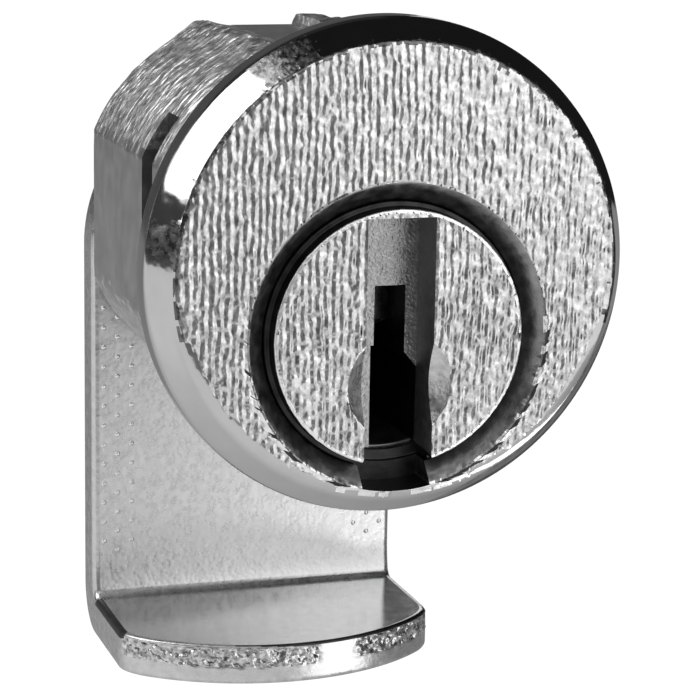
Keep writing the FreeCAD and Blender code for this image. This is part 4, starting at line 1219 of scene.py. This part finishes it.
def plain_world():
    """White where the camera or a reflection looks, softer for what lights the object."""
    world = bpy.data.worlds.new("room")
    bpy.context.scene.world = world
    world.use_nodes = True
    nodes, links = world.node_tree.nodes, world.node_tree.links
    background = nodes["Background"]
    background.inputs["Color"].default_value = WHITE
    rays = new_node(nodes, "LightPath")
    seen = rays.outputs["Is Camera Ray"]
    for kind in ("Is Glossy Ray", "Is Transmission Ray"):
        most = new_node(nodes, "Math", operation="MAXIMUM")
        links.new(seen, most.inputs[0])
        links.new(rays.outputs[kind], most.inputs[1])
        seen = most.outputs[0]
    strength = new_node(nodes, "MapRange", [("To Min", 0.5), ("To Max", 1.0)])
    links.new(seen, strength.inputs["Value"])
    links.new(strength.outputs["Result"], background.inputs["Strength"])


def put_square(name, made, places, only_reflected):
    """A square through four places, in millimetres, with a material of its own."""
    mesh = bpy.data.meshes.new(name)
    mesh.from_pydata([tuple(place * MM) for place in places], [], [(0, 1, 2, 3)])
    mesh.materials.append(made)
    item = bpy.data.objects.new(name, mesh)
    bpy.context.scene.collection.objects.link(item)
    item.visible_camera = item.visible_shadow = not only_reflected
    return item


def level_places(half, level):
    """The four places of a level square about the origin."""
    return [np.array([a * half, b * half, level]) for a, b in SQUARE]


def grey_table(level):
    """A level board that only reflections see; its tone falls from left to right and to the back."""
    made, nodes, links = new_material("table")
    place = new_node(nodes, "TexCoord")
    slope = new_node(nodes, "VectorMath", [(1, (-4.04, -3.42, 0))], "DOT_PRODUCT")
    tone = new_node(nodes, "Math", [(1, 0.58)], "ADD")
    within = new_node(nodes, "Clamp", [("Min", 0.27), ("Max", 0.85)])
    glow = new_node(nodes, "Emission")
    links.new(place.outputs["Object"], slope.inputs[0])
    links.new(slope.outputs["Value"], tone.inputs[0])
    links.new(tone.outputs[0], within.inputs["Value"])
    links.new(within.outputs["Result"], glow.inputs["Strength"])
    links.new(glow.outputs["Emission"], nodes["Material Output"].inputs["Surface"])
    item = put_square("table", made, level_places(TABLE_HALF, level), True)
    item.visible_diffuse = False


def mix_in(nodes, links, share, first, second):
    """The first shader where share is 0 and the second where it is 1."""
    mix = new_node(nodes, "MixShader")
    for number, source in enumerate((share, first, second)):
        links.new(source, mix.inputs[number])
    return mix.outputs["Shader"]


def pale_floor(level):
    """A wide floor, white to the camera, that takes a soft shadow and is clear from below."""
    made, nodes, links = new_material("pale_floor")
    shader = nodes["Principled BSDF"]
    shader.inputs["Base Color"].default_value = PALE
    shader.inputs["Roughness"].default_value = 0.8
    white = new_node(nodes, "Emission", [("Strength", 1.1)])
    rays = new_node(nodes, "LightPath")
    whiteness = new_node(nodes, "Math", [(1, 0.9)], "MULTIPLY")
    links.new(rays.outputs["Is Camera Ray"], whiteness.inputs[0])
    above = mix_in(nodes, links, whiteness.outputs[0], shader.outputs["BSDF"], white.outputs["Emission"])
    side = new_node(nodes, "NewGeometry").outputs["Backfacing"]
    clear = new_node(nodes, "BsdfTransparent").outputs["BSDF"]
    links.new(mix_in(nodes, links, side, above, clear), nodes["Material Output"].inputs["Surface"])
    put_square("floor", made, level_places(FLOOR_HALF, level), False)


plain_world()
pale_floor(cam_low[2] - FLOOR_DROP)
grey_table(cam_low[2] - TABLE_DROP)
print("floor and table:", FLOOR_DROP, "and", TABLE_DROP, "mm below the cam")

# %% Panels, boards and a soft lamp
MIDDLE = np.array([0.0, 8.0, -4.0])
LOW_PANEL = np.array([44.5, -39.7, -45.3])
LOW_PANEL_TARGET = np.array([2.0, 11.0, -22.5])
STEEP = 0.95
# Name, azimuth and elevation in degrees, distance, width and height in millimetres, tone.
BOARDS = (
    ("cap_above", 150, 90, 150, 170, 190, 0.012),
    ("board_right", 125, 28, 165, 165, 200, 0.012),
    ("board_behind", -172, 14, 175, 200, 110, 0.1),
    ("board_high_behind", -172, 50, 178, 200, 130, 0.03),
    ("band_left", -110, 7, 165, 190, 66, 0.06),
    ("panel_left", -104, 41, 150, 130, 118, 2.6),
    ("board_front", -16, -4, 140, 149, 190, 0.2),
    ("panel_front_low", 32, -20.5, 150, 104, 94, 1.08),
    ("panel_front_high", 32, 13, 150, 104, 82, 1.55),
    ("board_side_right", 74, -6, 145, 135, 240, 0.08),
    ("board_right_high", 80, 50, 150, 90, 80, 0.12),
    ("board_front_high", 10, 45, 150, 240, 90, 1.3),
    ("board_front_left", -56, 27, 145, 84, 110, 0.05),
)


def board(name, centre, facing, width, height, tone):
    """A flat board near the object that only reflections see, with a plain grey of its own."""
    facing = facing / np.linalg.norm(facing)
    upright = np.array([0, 0, 1.0]) if abs(facing[2]) < STEEP else np.array([0, 1.0, 0])
    across_way = np.cross(upright, facing)
    across_way /= np.linalg.norm(across_way)
    up = np.cross(facing, across_way)
    places = [centre + across_way * a * width / 2 + up * b * height / 2 for a, b in SQUARE]
    made, nodes, links = new_material(name)
    glow = new_node(nodes, "Emission", [("Color", WHITE), ("Strength", tone)])
    links.new(glow.outputs["Emission"], nodes["Material Output"].inputs["Surface"])
    put_square(name, made, places, True)


def towards(azimuth, elevation, distance):
    """A place round the object, by degrees and millimetres, and the way from it to the middle."""
    way = way_to(math.radians(azimuth), math.radians(elevation))
    return MIDDLE + way * distance, -way


for name, azimuth, elevation, distance, width, height, tone in BOARDS:
    board(name, *towards(azimuth, elevation, distance), width, height, tone)
board("low_panel", LOW_PANEL, LOW_PANEL_TARGET - LOW_PANEL, 44, 12, 3.2)

lamp_data = bpy.data.lights.new("soft_panel", "AREA")
lamp_data.shape = "RECTANGLE"
lamp_data.size, lamp_data.size_y = 0.12, 0.12
lamp_data.energy = 0.35
lamp = bpy.data.objects.new("soft_panel", lamp_data)
bpy.context.scene.collection.objects.link(lamp)
place, facing = towards(-100, 45, 220)
lamp.location = tuple(place * MM)
lamp.rotation_mode = "QUATERNION"
lamp.rotation_quaternion = Vector(-facing).to_track_quat("Z", "Y")
bpy.context.scene.view_settings.view_transform = "Standard"
print("panels and boards:", len(BOARDS) + 1)
